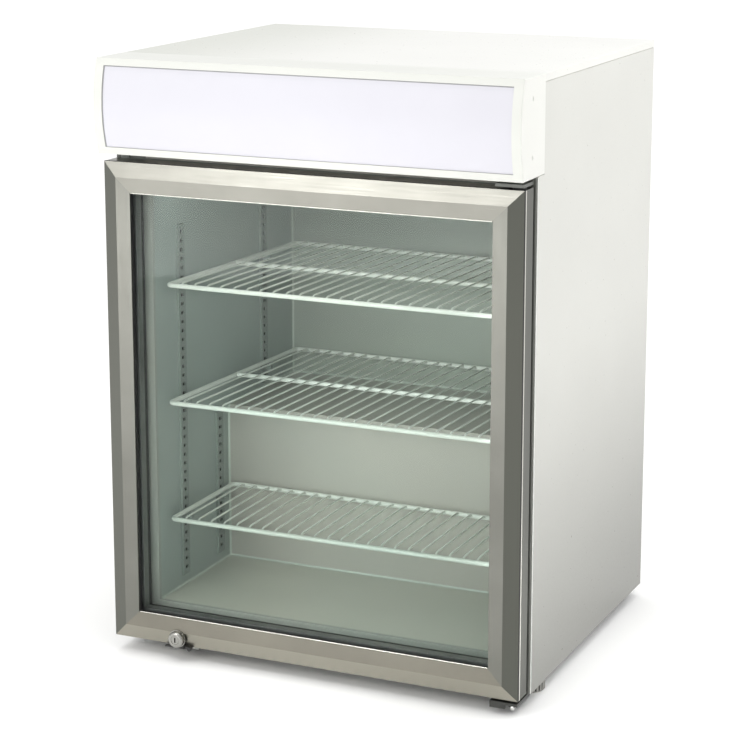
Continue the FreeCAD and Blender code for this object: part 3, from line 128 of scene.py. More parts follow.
@dataclass(frozen=True)
class Finish:
    """A finish with a clouded colour, an uneven gloss and fine marks in relief.

    The colour drifts between base and tone over cloud_mm; marks of mark_mm stand relief_mm high
    and carry the roughness between its two values.
    """

    name: str
    base: str
    tone: str
    cloud_mm: float
    mark_mm: float
    relief_mm: float
    rough: tuple[float, float]
    metallic: float = 0.0
    ior: float = 1.5
    coat: float = 0.0
    run: Run = Run.EVEN

    def marks(self, tree: Tree, place: Socket) -> Socket:
        """Noise at the marks' own size, drawn out along the way they run.

        Args:
            tree: the material's node tree.
            place: the piece's own coordinates.

        Returns:
            The marks' height, from 0 to 1.
        """
        scale = tuple(squeeze / (self.mark_mm * MM) for squeeze in self.run.value)
        drawn = add(tree, "ShaderNodeMapping", {"Scale": scale}, {"Vector": place})
        return add(tree, "ShaderNodeTexNoise", {"Scale": 1.0, "Detail": NOISE_DETAIL},
                   {"Vector": drawn.outputs["Vector"]}).outputs["Fac"]

    def colour(self, tree: Tree, place: Socket) -> Socket:
        """The clouded colour: broad noise drifts it from base to tone.

        Args:
            tree: the material's node tree.
            place: the piece's own coordinates.

        Returns:
            The colour.
        """
        low, high = CLOUD_SPAN
        cloud = add(tree, "ShaderNodeTexNoise",
                    {"Scale": 1.0 / (self.cloud_mm * MM), "Detail": NOISE_DETAIL}, {"Vector": place})
        drift = add(tree, "ShaderNodeMapRange", {"From Min": low, "From Max": high},
                    {"Value": cloud.outputs["Fac"]})
        return add(tree, "ShaderNodeMix",
                   {"data_type": "RGBA", 6: linear(self.base), 7: linear(self.tone)},
                   {0: drift.outputs["Result"]}).outputs[2]

    def shader(self, tree: Tree, colour: Socket, rough: Socket, normal: Socket) -> Socket:
        """The surface shader that the patterns feed.

        Args:
            tree: the material's node tree.
            colour: the clouded colour.
            rough: the uneven roughness.
            normal: the relief's normal.

        Returns:
            The shader.
        """
        settings = {"Metallic": self.metallic, "Coat Weight": self.coat}
        if not self.metallic:
            settings["IOR"] = self.ior
        return add(tree, "ShaderNodeBsdfPrincipled", settings,
                   {"Base Color": colour, "Roughness": rough, "Normal": normal}).outputs["BSDF"]

    @cache
    def make(self) -> bpy.types.Material:
        """Build the material, once: cloud to colour, marks to roughness and relief, all to the shader.

        Returns:
            The material.
        """
        material = bpy.data.materials.new(f"{self.name}_{self.run.name.lower()}")
        material.use_nodes = True
        tree = material.node_tree
        tree.nodes.clear()
        place = add(tree, "ShaderNodeTexCoord").outputs["Object"]
        marks = self.marks(tree, place)
        low, high = MARK_SPAN
        smooth, dull = self.rough
        rough = add(tree, "ShaderNodeMapRange",
                    {"From Min": low, "From Max": high, "To Min": smooth, "To Max": dull}, {"Value": marks})
        relief = add(tree, "ShaderNodeBump", {"Strength": 1.0, "Distance": self.relief_mm * MM},
                     {"Height": marks})
        surface = self.shader(tree, self.colour(tree, place), rough.outputs["Result"],
                              relief.outputs["Normal"])
        add(tree, "ShaderNodeOutputMaterial", None, {"Surface": surface})
        return material


@dataclass(frozen=True)
class Toned(Finish):
    """A finish with a second colour, painted light or shade, over part of it, told apart along one axis."""

    second: str = "#FFFFFF"
    across: str = "X"

    def share(self, tree: Tree, along: Socket) -> Socket:
        """The clouded colour's share at a place along the axis."""
        raise NotImplementedError

    def colour(self, tree: Tree, place: Socket) -> Socket:
        """The clouded colour by its share, and the second colour by the rest.

        Args:
            tree: the material's node tree.
            place: the piece's own coordinates.

        Returns:
            The mixed colour.
        """
        parts = add(tree, "ShaderNodeSeparateXYZ", None, {"Vector": place})
        share = self.share(tree, parts.outputs[self.across])
        return add(tree, "ShaderNodeMix", {"data_type": "RGBA", 6: linear(self.second)},
                   {0: share, 7: super().colour(tree, place)}).outputs[2]


@dataclass(frozen=True)
class PaintedShadeFade(Toned):
    """A finish with painted shade: all second colour at start_mm along the axis, none from fade_mm on."""

    start_mm: float = 0.0
    fade_mm: float = 1.0

    def share(self, tree: Tree, along: Socket) -> Socket:
        """A smooth step from the start to the fade's end."""
        span = {"From Min": self.start_mm * MM, "From Max": self.fade_mm * MM}
        return add(tree, "ShaderNodeMapRange", {"interpolation_type": "SMOOTHSTEP", **span},
                   {"Value": along}).outputs["Result"]


@dataclass(frozen=True)
class Bevelled(Toned):
    """A finish with the second colour, painted light or shade, outside a ridge ridge_mm either side of
    middle_mm.
    """

    middle_mm: float = 0.0
    ridge_mm: float = 1.0

    def share(self, tree: Tree, along: Socket) -> Socket:
        """One within the ridge's distance of the middle, and none beyond it."""
        band = {1: self.middle_mm * MM, 2: self.ridge_mm * MM}
        return add(tree, "ShaderNodeMath", {"operation": "COMPARE", **band}, {0: along}).outputs["Value"]


@dataclass(frozen=True)
class Spangled(Finish):
    """A hot-dipped sheet, whose zinc froze in flat crystals that each catch the light their own way."""

    def marks(self, tree: Tree, place: Socket) -> Socket:
        """Crystal cells of the marks' size, with one level for each cell."""
        cells = add(tree, "ShaderNodeTexVoronoi", {"Scale": 1.0 / (self.mark_mm * MM)}, {"Vector": place})
        return add(tree, "ShaderNodeSeparateColor", None, {"Color": cells.outputs["Color"]}).outputs["Red"]


@dataclass(frozen=True)
class Finned(Finish):
    """A stack of thin fins, seen as close ridges."""

    def marks(self, tree: Tree, place: Socket) -> Socket:
        """Ridges across X at the marks' pitch."""
        settings = {"Scale": 1.0 / (BAND_REPEATS * self.mark_mm * MM), "bands_direction": "X"}
        return add(tree, "ShaderNodeTexWave", settings, {"Vector": place}).outputs["Fac"]


@dataclass(frozen=True)
class Glazing(Finish):
    """A clear pane: what lies behind shows through a faint tint, and gloss grows towards grazing angles."""

    def shader(self, tree: Tree, colour: Socket, rough: Socket, normal: Socket) -> Socket:
        """A tinted see-through shader under a mirror gloss, mixed by Fresnel.

        The ray is not bent in the pane, so the index is turned over on a pane's far side, where the
        Fresnel node would turn it over too and mirror everything at a slant.

        Args:
            tree: the material's node tree.
            colour: the clouded tint.
            rough: the uneven roughness.
            normal: the relief's normal.

        Returns:
            The mixed shader.
        """
        clear = add(tree, "ShaderNodeBsdfTransparent", None, {"Color": colour})
        gloss = add(tree, "ShaderNodeBsdfGlossy", {"Color": linear("#FFFFFF")},
                    {"Roughness": rough, "Normal": normal})
        side = add(tree, "ShaderNodeNewGeometry")
        ior = add(tree, "ShaderNodeMath",
                  {"operation": "MULTIPLY_ADD", 1: 1.0 / self.ior - self.ior, 2: self.ior},
                  {0: side.outputs["Backfacing"]})
        share = add(tree, "ShaderNodeFresnel", None, {"IOR": ior.outputs["Value"]})
        return add(tree, "ShaderNodeMixShader", None,
                   {0: share.outputs["Fac"], 1: clear.outputs["BSDF"],
                    2: gloss.outputs["BSDF"]}).outputs["Shader"]


# Finishes

# Powder-coated steel: warm white, half gloss, with the faint orange peel of the baked powder.
# The peel is about 2 mm across; it is drawn at 5 mm so that it shows.
POWDER_COAT = Finish("powder_coated_steel", "#E2E2DD", "#DFDFDA", 140.0, 5.0, 0.003, (0.27, 0.33), coat=0.15)
# The side panels in the same coat, with painted shade: darker than the lid, darker still towards the floor.
PANEL_COAT = PaintedShadeFade("powder_coated_side_panel", "#CECEC8", "#CBCBC5", 140.0, 5.0, 0.003, (0.27, 0.33),
                     coat=0.15, second="#80807A", across="Z", fade_mm=520.0)
# The lid in the same coat, with painted shade that greys it towards its left end.
LID_COAT = replace(PANEL_COAT, name="powder_coated_lid", base="#E2E2DD", tone="#DFDFDA", second="#C6C8BE",
                   across="X", start_mm=-300.0, fade_mm=20.0)
# The rolled hem of the panels, painted whiter than the coat: a painted highlight on the rounded edge.
HEM_COAT = replace(POWDER_COAT, name="powder_coated_hem", base="#F4F4F0", tone="#F0F0EC")
# Galvanised steel: grey zinc crystals about 9 mm across, each with its own sheen.
GALVANISED = Spangled("galvanised_steel", "#ABADAE", "#A2A4A5", 60.0, 9.0, 0.004, (0.34, 0.52), metallic=1.0)
# Polyurethane foam, matt with fine bubbles; greyed to a pale buff as painted shade where seams show it.
FOAM = Finish("polyurethane_foam", "#CFCCC0", "#C2BFB3", 30.0, 1.2, 0.25, (0.85, 0.95))
# Coated liner sheet: pale grey, rolled smooth and half glossy, with soft streaks down the walls.
LINER = Finish("coated_liner_sheet", "#9BA5A1", "#959F9B", 160.0, 22.0, 0.003, (0.28, 0.33), run=Run.ALONG_Z)
# The back wall of the same sheet, painted lighter than the side walls: painted light.
LINER_BACK = replace(LINER, name="coated_liner_back", base="#9CA29A", tone="#969C94")
# The floor of the liner, where the streaks run across, painted lighter than the walls: painted light.
LINER_FLOOR = replace(LINER, name="coated_liner_floor", base="#B9BAB0", tone="#B3B4AA", run=Run.ALONG_X)
# The step over the machine bay, greyer and with the same streaks, painted lighter: painted light.
LINER_STEP = replace(LINER, name="coated_liner_step", base="#A9A7A0", tone="#A3A19A", run=Run.ALONG_X)
# Extruded vinyl: grey face frame, satin skin; painted shade darkens its outer edges beside the door.
FACE_VINYL = Bevelled("extruded_vinyl", "#9EA19B", "#979A94", 50.0, 0.9, 0.012, (0.42, 0.55),
                      second="#5C5E58", ridge_mm=292.0)
# Zinc-plated steel: bluish silver, soft gloss, finely clouded by the plating bath.
ZINC = Finish("zinc_plated_steel", "#B9BAB6", "#A5A6A2", 12.0, 0.8, 0.003, (0.3, 0.45), metallic=1.0)
# Painted bracket: dark grey stove enamel on pressed steel.
BRACKET = Finish("stove_enamelled_steel", "#30312D", "#292A26", 15.0, 0.9, 0.006, (0.38, 0.5), coat=0.1)
# The upper hinge plate in a lighter grey of the same enamel.
HINGE_PLATE = replace(BRACKET, name="stove_enamelled_plate", base="#5E605B", tone="#565853")
# Slotted strips: sheet with the liner's own coating, a little brighter where the fold catches light.
STRIP = Finish("coated_strip_sheet", "#868F8A", "#7E8782", 60.0, 6.0, 0.004, (0.28, 0.4), run=Run.ALONG_Z)
# Moulded ABS: bright white, with a very fine spark-eroded grain.
WHITE_ABS = Finish("moulded_white_abs", "#E1E1DC", "#DEDED9", 90.0, 0.7, 0.006, (0.3, 0.4))
# The same moulding on the canopy; painted shade makes its bowed front a little greyer than its flat ends.
CANOPY_ABS = Bevelled("moulded_canopy_abs", "#DADBD5", "#D7D8D2", 90.0, 0.7, 0.006, (0.3, 0.4),
                      second="#E1E1DC", ridge_mm=299.3)
# Pale vinyl cover strip over the face frame's head.
COVER_STRIP = Finish("pale_vinyl_strip", "#E6E3DB", "#DCD9D1", 50.0, 0.9, 0.012, (0.42, 0.55),
                     run=Run.ALONG_X)
# Opal acrylic: a cool white sheet with a satin face, that looks slightly milky.
OPAL_ACRYLIC = Finish("opal_acrylic", "#D3D2D9", "#D1D0D7", 120.0, 30.0, 0.003, (0.4, 0.46), ior=1.49)
# Painted tray inside the canopy.
TRAY_PAINT = Finish("white_tray_paint", "#ECECEC", "#E4E4E4", 80.0, 4.0, 0.008, (0.4, 0.5))
# Lamp lens: frosted polycarbonate over the diodes.
LAMP_LENS = Finish("frosted_polycarbonate", "#F6F6EF", "#EEEEE6", 18.0, 1.0, 0.01, (0.45, 0.6), ior=1.58)
# Satin anodised aluminium: champagne grey, drawn lengthwise, with hair lines along the section.
# The lines are about 0.1 mm wide; they are drawn at 0.9 mm so that they show.
ANODISED_RAIL = Finish("satin_anodised_aluminium", "#8E8D86", "#86857E", 70.0, 0.9, 0.003, (0.27, 0.36),
                       metallic=1.0, run=Run.ALONG_X)
# The bottom rail's outer bevel is painted paler: a painted reflection of the lit floor.
ANODISED_SILL = Bevelled("satin_anodised_sill", "#7E7B71", "#77746B", 70.0, 0.9, 0.003, (0.27, 0.36),
                         metallic=1.0, run=Run.ALONG_X, second="#9C998E", across="Z", middle_mm=355.0,
                         ridge_mm=312.5)
# On the stiles the lines stand upright, and painted shade draws them darker than the rails.
# Past the ridge, the outer bevel is painted darker still than the inner one: painted shade.
ANODISED_STILE = Bevelled("satin_anodised_stile", "#7B7B75", "#73736D", 70.0, 0.9, 0.003, (0.27, 0.36),
                          metallic=1.0, run=Run.ALONG_Z, second="#6A6B65", ridge_mm=277.5)
# The hinge stile, its outer bevel painted a shade darker again: painted shade.
STILE_RIGHT = replace(ANODISED_STILE, name="satin_anodised_hinge_stile", second="#5D5E58")
# Spacer bar: mill-finish aluminium, dull and even.
SPACER = Finish("mill_aluminium", "#8E918F", "#828583", 20.0, 1.0, 0.004, (0.4, 0.5), metallic=1.0)
# Float glass: clear, with the faint green of its iron, and a slow ripple in its reflections.
FLOAT_GLASS = Glazing("float_glass", "#FDFEFD", "#FCFEFD", 200.0, 180.0, 0.002, (0.01, 0.03), ior=1.15)
# EPDM rubber: black, matt, with a fine extruded skin.
RUBBER = Finish("epdm_rubber", "#131313", "#1B1B1A", 25.0, 0.8, 0.02, (0.55, 0.72))
# Black nylon: a slightly glossy moulding.
NYLON = Finish("black_nylon", "#151515", "#1D1D1C", 20.0, 0.7, 0.01, (0.38, 0.5), ior=1.53)
# Chromed zinc casting: mirror bright, with the faint swirl of the buffing wheel.
CHROME = Finish("chromed_zinc_casting", "#D2D2CF", "#C6C6C3", 4.0, 0.6, 0.0015, (0.06, 0.14), metallic=1.0)
# Satin nickel: the lock's plating, greyer and softer than chrome.
NICKEL = Finish("satin_nickel_plate", "#A6A5A0", "#989792", 5.0, 0.6, 0.0015, (0.16, 0.26), metallic=1.0)
# Bright edge: the aluminium's rounded corners, painted far paler than the rails: a painted highlight.
BRIGHT_EDGE = Finish("polished_aluminium_edge", "#D6D5CE", "#CAC9C2", 30.0, 0.8, 0.001, (0.12, 0.2),
                     metallic=1.0)
# Black painted shade behind the slots of the shelf strips: matt and slightly fluffy.
SLOT_SHADE = Finish("painted_slot_shade", "#101211", "#171918", 15.0, 0.8, 0.02, (0.85, 0.95))
# Painted shadow: a grey line along the sign's top and down its bowed left end.
SIGN_SHADOW = Finish("painted_sign_shadow", "#A6A6A9", "#9C9C9F", 20.0, 0.9, 0.006, (0.5, 0.6))
# Plastic-coated wire: white polyethylene, smooth, a little thicker here and there.
WIRE_COAT = Finish("polyethylene_coated_wire", "#E1E4DE", "#D9DCD6", 24.0, 4.0, 0.02, (0.3, 0.42), ior=1.51)
# The same coat on the middle shelf; painted shade makes its front bar a shade greyer.
WIRE_MIDDLE = Bevelled("polyethylene_coat_middle_shade", "#E2E5E0", "#DADDD8", 24.0, 4.0, 0.02, (0.3, 0.42), ior=1.51,
                       second="#CED3CD", across="Y", middle_mm=14.0, ridge_mm=200.0)
# And on the lowest shelf, greyer all over, its front bar greyest: painted shade.
WIRE_BOTTOM = replace(WIRE_MIDDLE, name="polyethylene_coat_lowest_shade", base="#DADED8", tone="#D2D6D0",
                      second="#BBC2BB")
# Fin stock: thin aluminium fins 2 mm apart; they are drawn at 4 mm so that they show.
FIN_STOCK = Finned("aluminium_fin_stock", "#A8ABAC", "#989B9C", 40.0, 4.0, 0.4, (0.35, 0.5), metallic=1.0)
# Motor can: grey enamelled steel.
MOTOR_CAN = Finish("enamelled_motor_can", "#54565A", "#4A4C50", 20.0, 1.5, 0.01, (0.35, 0.5))
# Compressor shell: black stove enamel, glossy, slightly uneven from dipping.
POT_ENAMEL = Finish("black_stove_enamel", "#121212", "#1A1A1A", 35.0, 6.0, 0.03, (0.2, 0.34), coat=0.3)
# Copper tube: warm, dulled in clouds where it has tarnished.
COPPER = Finish("drawn_copper_tube", "#B87048", "#96583A", 16.0, 0.9, 0.004, (0.28, 0.48), metallic=1.0)
# Grille: light grey powder coat with a fine leather texture.
GRILLE_COAT = Finish("grey_powder_coat", "#CBCBC5", "#C1C1BB", 70.0, 1.6, 0.03, (0.42, 0.55))
# Moulded rubber feet: mid grey, matt and dusty.
FOOT_RUBBER = Finish("moulded_grey_rubber", "#A09F99", "#92918B", 12.0, 0.9, 0.03, (0.6, 0.75))
# Silicone bead: translucent white, wetter than the walls beside it.
SILICONE = Finish("silicone_sealant", "#BAC1B9", "#B3BAB2", 14.0, 3.0, 0.03, (0.22, 0.32), ior=1.41)
# Scale paint: dark printing ink on the rear panel.
SCALE_INK = Finish("dark_printing_ink", "#2A2A2A", "#343434", 6.0, 0.6, 0.004, (0.45, 0.55))
# Studio paper: a seamless pale roll, matt.
PAPER = Finish("seamless_paper", "#FBFBFA", "#F9F9F8", 900.0, 3.0, 0.01, (0.85, 0.95))


# Surfaces

class Axis(Enum):
    """A main direction with two more square to it, in right-handed order."""

    X = ((1.0, 0.0, 0.0), (0.0, 1.0, 0.0), (0.0, 0.0, 1.0))
    Y = ((0.0, 1.0, 0.0), (0.0, 0.0, 1.0), (1.0, 0.0, 0.0))
    Z = ((0.0, 0.0, 1.0), (1.0, 0.0, 0.0), (0.0, 1.0, 0.0))


@dataclass
class Surface:
    """Points in millimetres and the four-sided faces between them."""

    points: np.ndarray
    faces: np.ndarray


def turns(count: int) -> np.ndarray:
    """Equal steps round one full turn, in radians."""
    return np.arange(count) * 2.0 * math.pi / count


def lattice(points: np.ndarray, wrap_rows: bool = False, wrap_columns: bool = False) -> Surface:
    """Join a grid of points into faces: each takes a point, its right, opposite and lower neighbour.

    Args:
        points: the grid, as rows by columns by three.
        wrap_rows: whether the last row joins the first.
        wrap_columns: whether the last column joins the first.

    Returns:
        The grid's surface.
    """
    rows, columns = points.shape[:2]
    index = np.arange(rows * columns).reshape(rows, columns)
    if wrap_rows:
        index = np.vstack([index, index[:1]])
    if wrap_columns:
        index = np.hstack([index, index[:, :1]])
    faces = np.stack([index[:-1, :-1], index[:-1, 1:], index[1:, 1:], index[1:, :-1]], axis=-1)
    return Surface(points.reshape(-1, 3), faces.reshape(-1, 4))


def merged(surfaces: Iterable[Surface]) -> Surface:
    """Put several surfaces into one, each one's faces counted on from the points before it.

    Args:
        surfaces: the surfaces to join.

    Returns:
        One surface with all their points and faces.
    """
    every = list(surfaces)
    starts = np.cumsum([0] + [len(one.points) for one in every[:-1]])
    return Surface(np.concatenate([one.points for one in every]),
                   np.concatenate([one.faces + start for one, start in zip(every, starts)]))


def lathe(profile: Sequence[tuple[float, float]], base: Point, axis: Axis, sides: int,
          swell: np.ndarray | None = None, ring: bool = False) -> Surface:
    """Turn a profile about an axis.

    A point is the base, plus the profile's height along the axis, plus its radius times the cosine
    and the sine of the turn along the two square directions. The radius is multiplied by swell.

    Args:
        profile: radius and height of each profile point.
        base: the point on the axis where height is zero.
        axis: the axis.
        sides: how many steps one turn has.
        swell: a factor for each profile point and step, or nothing for a round piece.
        ring: whether the profile's last point joins its first.

    Returns:
        The turned surface.
    """
    along, across, up = np.array(axis.value)
    radius, height = np.array(profile, float).T
    turn = turns(sides)
    reach = radius[:, None] * (np.ones((len(radius), sides)) if swell is None else swell)
    points = (np.array(base) + height[:, None, None] * along
              + (reach * np.cos(turn))[..., None] * across + (reach * np.sin(turn))[..., None] * up)
    return lattice(points, wrap_rows=ring, wrap_columns=True)


def tube(path: np.ndarray, radius: float, sides: int, up: Point, loop: bool = False) -> Surface:
    """Carry a circle along a path.

    Each circle lies square to the path's heading there, on the direction square to both heading and
    up and on the one square to those two. An open path ends in flat caps, whose inner ring has no radius.

    Args:
        path: the points of the centre line.
        radius: the circle's radius.
        sides: how many points the circle has.
        up: a direction that the path never follows.
        loop: whether the path closes on itself.

    Returns:
        The tube's surface.
    """
    spread = np.full(len(path), radius)
    if loop:
        heading = np.roll(path, -1, axis=0) - np.roll(path, 1, axis=0)
    else:
        heading = np.gradient(path, axis=0)
        path = np.concatenate([path[:1], path, path[-1:]])
        heading = np.concatenate([heading[:1], heading, heading[-1:]])
        spread = np.concatenate([[0.0], spread, [0.0]])
    heading = heading / np.linalg.norm(heading, axis=1, keepdims=True)
    side = np.cross(heading, np.array(up, float))
    side = side / np.linalg.norm(side, axis=1, keepdims=True)
    top = np.cross(side, heading)
    turn = turns(sides)[None, :, None]
    circle = np.cos(turn) * side[:, None] + np.sin(turn) * top[:, None]
    return lattice(path[:, None] + spread[:, None, None] * circle, wrap_rows=loop, wrap_columns=True)


def prism(section: np.ndarray, start: Point, end: Point) -> Surface:
    """Carry a flat closed section straight from start to end; each end closes on the section's middle.

    Args:
        section: the section's corners, as offsets from the path.
        start: where the path starts.
        end: where the path ends.

    Returns:
        The closed surface.
    """
    middle = np.broadcast_to(section.mean(axis=0), section.shape)
    first, last = np.array(start, float), np.array(end, float)
    return lattice(np.stack([middle + first, section + first, section + last, middle + last]),
                   wrap_columns=True)


def slab(low: Point, high: Point) -> Surface:
    """A square block: its rectangle in X and Y, carried up Z.

    Args:
        low: its lowest corner.
        high: its highest corner.

    Returns:
        The block's surface.
    """
    (left, near, bottom), (right, far, top) = low, high
    section = np.array([(left, near, 0.0), (right, near, 0.0), (right, far, 0.0), (left, far, 0.0)])
    return prism(section, (0.0, 0.0, bottom), (0.0, 0.0, top))


def rounded_loop(half_x: float, low_y: float, high_y: float, bend: float, steps: int) -> np.ndarray:
    """A level rectangle with rounded corners: four quarter circles, each about its own corner's centre.

    Args:
        half_x: half of its width.
        low_y: its front.
        high_y: its back.
        bend: the corners' radius.
        steps: how many points each corner has.

    Returns:
        The loop's points in order.
    """
    centre_x = np.array([1.0, 1.0, -1.0, -1.0])[:, None] * (half_x - bend)
    centre_y = np.array([low_y + bend, high_y - bend, high_y - bend, low_y + bend])[:, None]
    start = np.array([-1.0, 0.0, 1.0, 2.0])[:, None] * QUARTER_TURN
    turn = start + np.linspace(0.0, QUARTER_TURN, steps)
    x, y = centre_x + bend * np.cos(turn), centre_y + bend * np.sin(turn)
    return np.stack([x, y, np.zeros_like(turn)], axis=-1).reshape(-1, 3)


@dataclass(frozen=True)
class CrossHead:
    """A cross-recessed screw head: its radius, its crown and the depth of its cross.

    The arms are a radius over slender wide to either side and end at the reach's share of the
    radius; the skirt goes down into the hole.
    """

    radius: float
    crown: float
    recess: float = 0.5
    slender: float = 6.0
    reach: float = 0.68
    skirt: float = 1.0
    core: float = 0.06
    rings: int = 18
    sides: int = 72

    def surface(self, place: Point, axis: Axis, outward: float) -> Surface:
        """Form the head over radius r and turn a.

        The height is the crown times one less (r / radius) squared, less the recess where the point
        lies in an arm of the cross. The last ring is the skirt's.

        Args:
            place: the middle of the rim's plane.
            axis: the screw's axis.
            outward: 1 where the head faces along the axis, -1 where it faces back.

        Returns:
            The head's surface.
        """
        along, across, up = np.array(axis.value)
        rings = np.concatenate([[0.0], np.linspace(self.core, 1.0, self.rings), [1.0]])
        out = rings[:, None] * self.radius
        first, second = out * np.cos(turns(self.sides)), out * np.sin(turns(self.sides))
        arm = np.minimum(np.abs(first), np.abs(second)) < self.radius / self.slender
        cross = arm & (out < self.reach * self.radius)
        height = self.crown * (1.0 - (out / self.radius) ** 2) - self.recess * cross
        height[-1] = -self.skirt
        points = (np.array(place, float) + outward * height[..., None] * along
                  + first[..., None] * across + second[..., None] * up)
        return lattice(points, wrap_columns=True)


@dataclass
class Piece:
    """A new piece: its name, the body it rides, its slot, finish and shape, and the solids it stands for."""

    name: str
    body: str
    slot: str
    finish: Finish
    surface: Surface
    stands_for: tuple[str, ...] = ()
    wall_mm: float = 0.0

    def mesh(self) -> bpy.types.Mesh:
        """Make the mesh: merge doubles, turn faces outwards, keep sharp edges sharp, and dress it.

        Returns:
            The mesh in metres.
        """
        mesh = bpy.data.meshes.new(self.name)
        mesh.from_pydata((self.surface.points * MM).tolist(), [], self.surface.faces.tolist())
        work = bmesh.new()
        work.from_mesh(mesh)
        bmesh.ops.remove_doubles(work, verts=work.verts, dist=MERGE_DISTANCE)
        bmesh.ops.recalc_face_normals(work, faces=work.faces)
        work.to_mesh(mesh)
        work.free()
        mesh.polygons.foreach_set("use_smooth", np.ones(len(mesh.polygons), dtype=bool))
        mesh.set_sharp_from_angle(angle=SHARP_ANGLE)
        mesh.materials.append(self.finish.make())
        return mesh

    def place(self) -> None:
        """Make the object, give it its wall if it is a sheet, and let it ride."""
        thing = bpy.data.objects.new(self.name, self.mesh())
        bpy.context.scene.collection.objects.link(thing)
        if self.wall_mm:
            wall = thing.modifiers.new("wall", "SOLIDIFY")
            wall.thickness = self.wall_mm * MM
            wall.offset = -1.0
        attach(thing, self.body)
        if self.stands_for:
            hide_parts(*self.stands_for)


# Sub-assemblies

class SubAssembly:
    """One part of the freezer: finishes for its solids, and the fine pieces on it."""

    def finishes(self) -> dict[str, Finish]:
        """The finish of each of its solids."""
        return {}

    def pieces(self) -> list[Piece]:
        """Its new pieces."""
        return []

    def build(self, nodes: dict[str, bpy.types.Object]) -> None:
        """Dress its solids, then make its pieces, and report each.

        Args:
            nodes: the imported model's solids by name.
        """
        for name, finish in self.finishes().items():
            nodes[name].data.materials.clear()
            nodes[name].data.materials.append(finish.make())
            LOG.info("%s dressed in %s", name, finish.name)
        for piece in self.pieces():
            piece.place()
            LOG.info("%s made with %d points, on %s", piece.name, len(piece.surface.points), piece.body)


@dataclass
class Cabinet(SubAssembly):
    """Shell, liner and face frame, with the liner's sealant and drain, panel hems and a cover strip."""

    cabin_x: float = 248.0
    front_y: float = -202.5
    step_y: float = 2.5
    back_y: float = 215.5
    floor_z: float = 68.0
    step_z: float = 298.0
    head_z: float = 662.0
    bead: float = 2.6
    bead_steps: int = 7
    drain_sides: int = 28
    hem_sides: int = 10
    drain_x: float = 196.0
    drain_z: float = 92.0
    drain_profile: Profile = ((0.0, -0.4), (1.7, -0.4), (1.87, -1.2), (2.72, -1.5), (3.4, -0.8), (3.4, 0.0),
                              (0.0, 0.0))
    hem: float = 0.75
    hem_x: float = 299.25
    hem_y: float = -203.0
    hem_z: tuple[float, float] = (18.5, 698.0)
    strip_low: Point = (-255.0, -209.0, 688.4)
    strip_high: Point = (255.0, -208.4, 698.0)

    def finishes(self) -> dict[str, Finish]:
        """Powder coat outside, coated sheet inside, zinc underneath and behind."""
        return {"side_panel_left": PANEL_COAT, "side_panel_right": PANEL_COAT, "top_lid": LID_COAT,
                "liner_left": LINER, "liner_right": LINER, "liner_back": LINER_BACK,
                "liner_floor": LINER_FLOOR, "liner_ceiling": LINER_FLOOR, "liner_step": LINER_STEP,
                "base_pan": GALVANISED, "back_panel": GALVANISED, "insulation_foam": FOAM,
                "face_frame": FACE_VINYL}

    def sealant(self, start: Point, end: Point, first: Point, second: Point) -> Surface:
        """A hollow fillet carried along a corner.

        The section goes from the corner out along one wall, back in a quarter circle whose centre is
        out in the room, to the other wall, and home.

        Args:
            start: where the bead starts, on the corner.
            end: where it ends.
            first: the direction out along one wall.
            second: the direction out along the other.

        Returns:
            The bead's surface.
        """
        turn = np.linspace(0.0, QUARTER_TURN, self.bead_steps)[:, None]
        arc = (1.0 - np.sin(turn)) * np.array(first, float) + (1.0 - np.cos(turn)) * np.array(second, float)
        return prism(np.concatenate([np.zeros((1, 3)), arc]) * self.bead, start, end)

    def beads(self) -> Surface:
        """Every bead: round the floor, up the step, round the step's top and up the back corners.

        Returns:
            All the beads in one surface.
        """
        x, front, step, back = self.cabin_x, self.front_y, self.step_y, self.back_y
        low, mid, high = self.floor_z, self.step_z, self.head_z
        up, near = (0, 0, 1), (0, -1, 0)
        runs = [((-x, step, low), (x, step, low), near, up), ((-x, back, mid), (x, back, mid), near, up)]
        for side in (-1, 1):
            wall, inward = side * x, (-side, 0, 0)
            runs += [((wall, front, low), (wall, step, low), inward, up),
                     ((wall, step, low), (wall, step, mid), inward, near),
                     ((wall, step, mid), (wall, back, mid), inward, up),
                     ((wall, back, mid), (wall, back, high), inward, near)]
        return merged(self.sealant(*run) for run in runs)

    def pieces(self) -> list[Piece]:
        """The frame's cover strip, the panels' rolled hems, the sealant and the drain in the step.

        Returns:
            Four pieces on the cabinet.
        """
        hems = [tube(np.array([(side * self.hem_x, self.hem_y, z) for z in self.hem_z]), self.hem,
                     self.hem_sides, (0, 1, 0)) for side in BOTH_SIDES]
        drain = lathe(self.drain_profile, (self.drain_x, self.step_y, self.drain_z), Axis.Y, self.drain_sides)
        strip = slab(self.strip_low, self.strip_high)
        return [Piece("head_strip", "cabinet", "grey_plastic", COVER_STRIP, strip),
                Piece("panel_hems", "cabinet", "white_enamel", HEM_COAT, merged(hems)),
                Piece("liner_sealant", "cabinet", "liner_enamel", SILICONE, self.beads()),
                Piece("drain_grommet", "cabinet", "black_rubber", RUBBER, drain)]


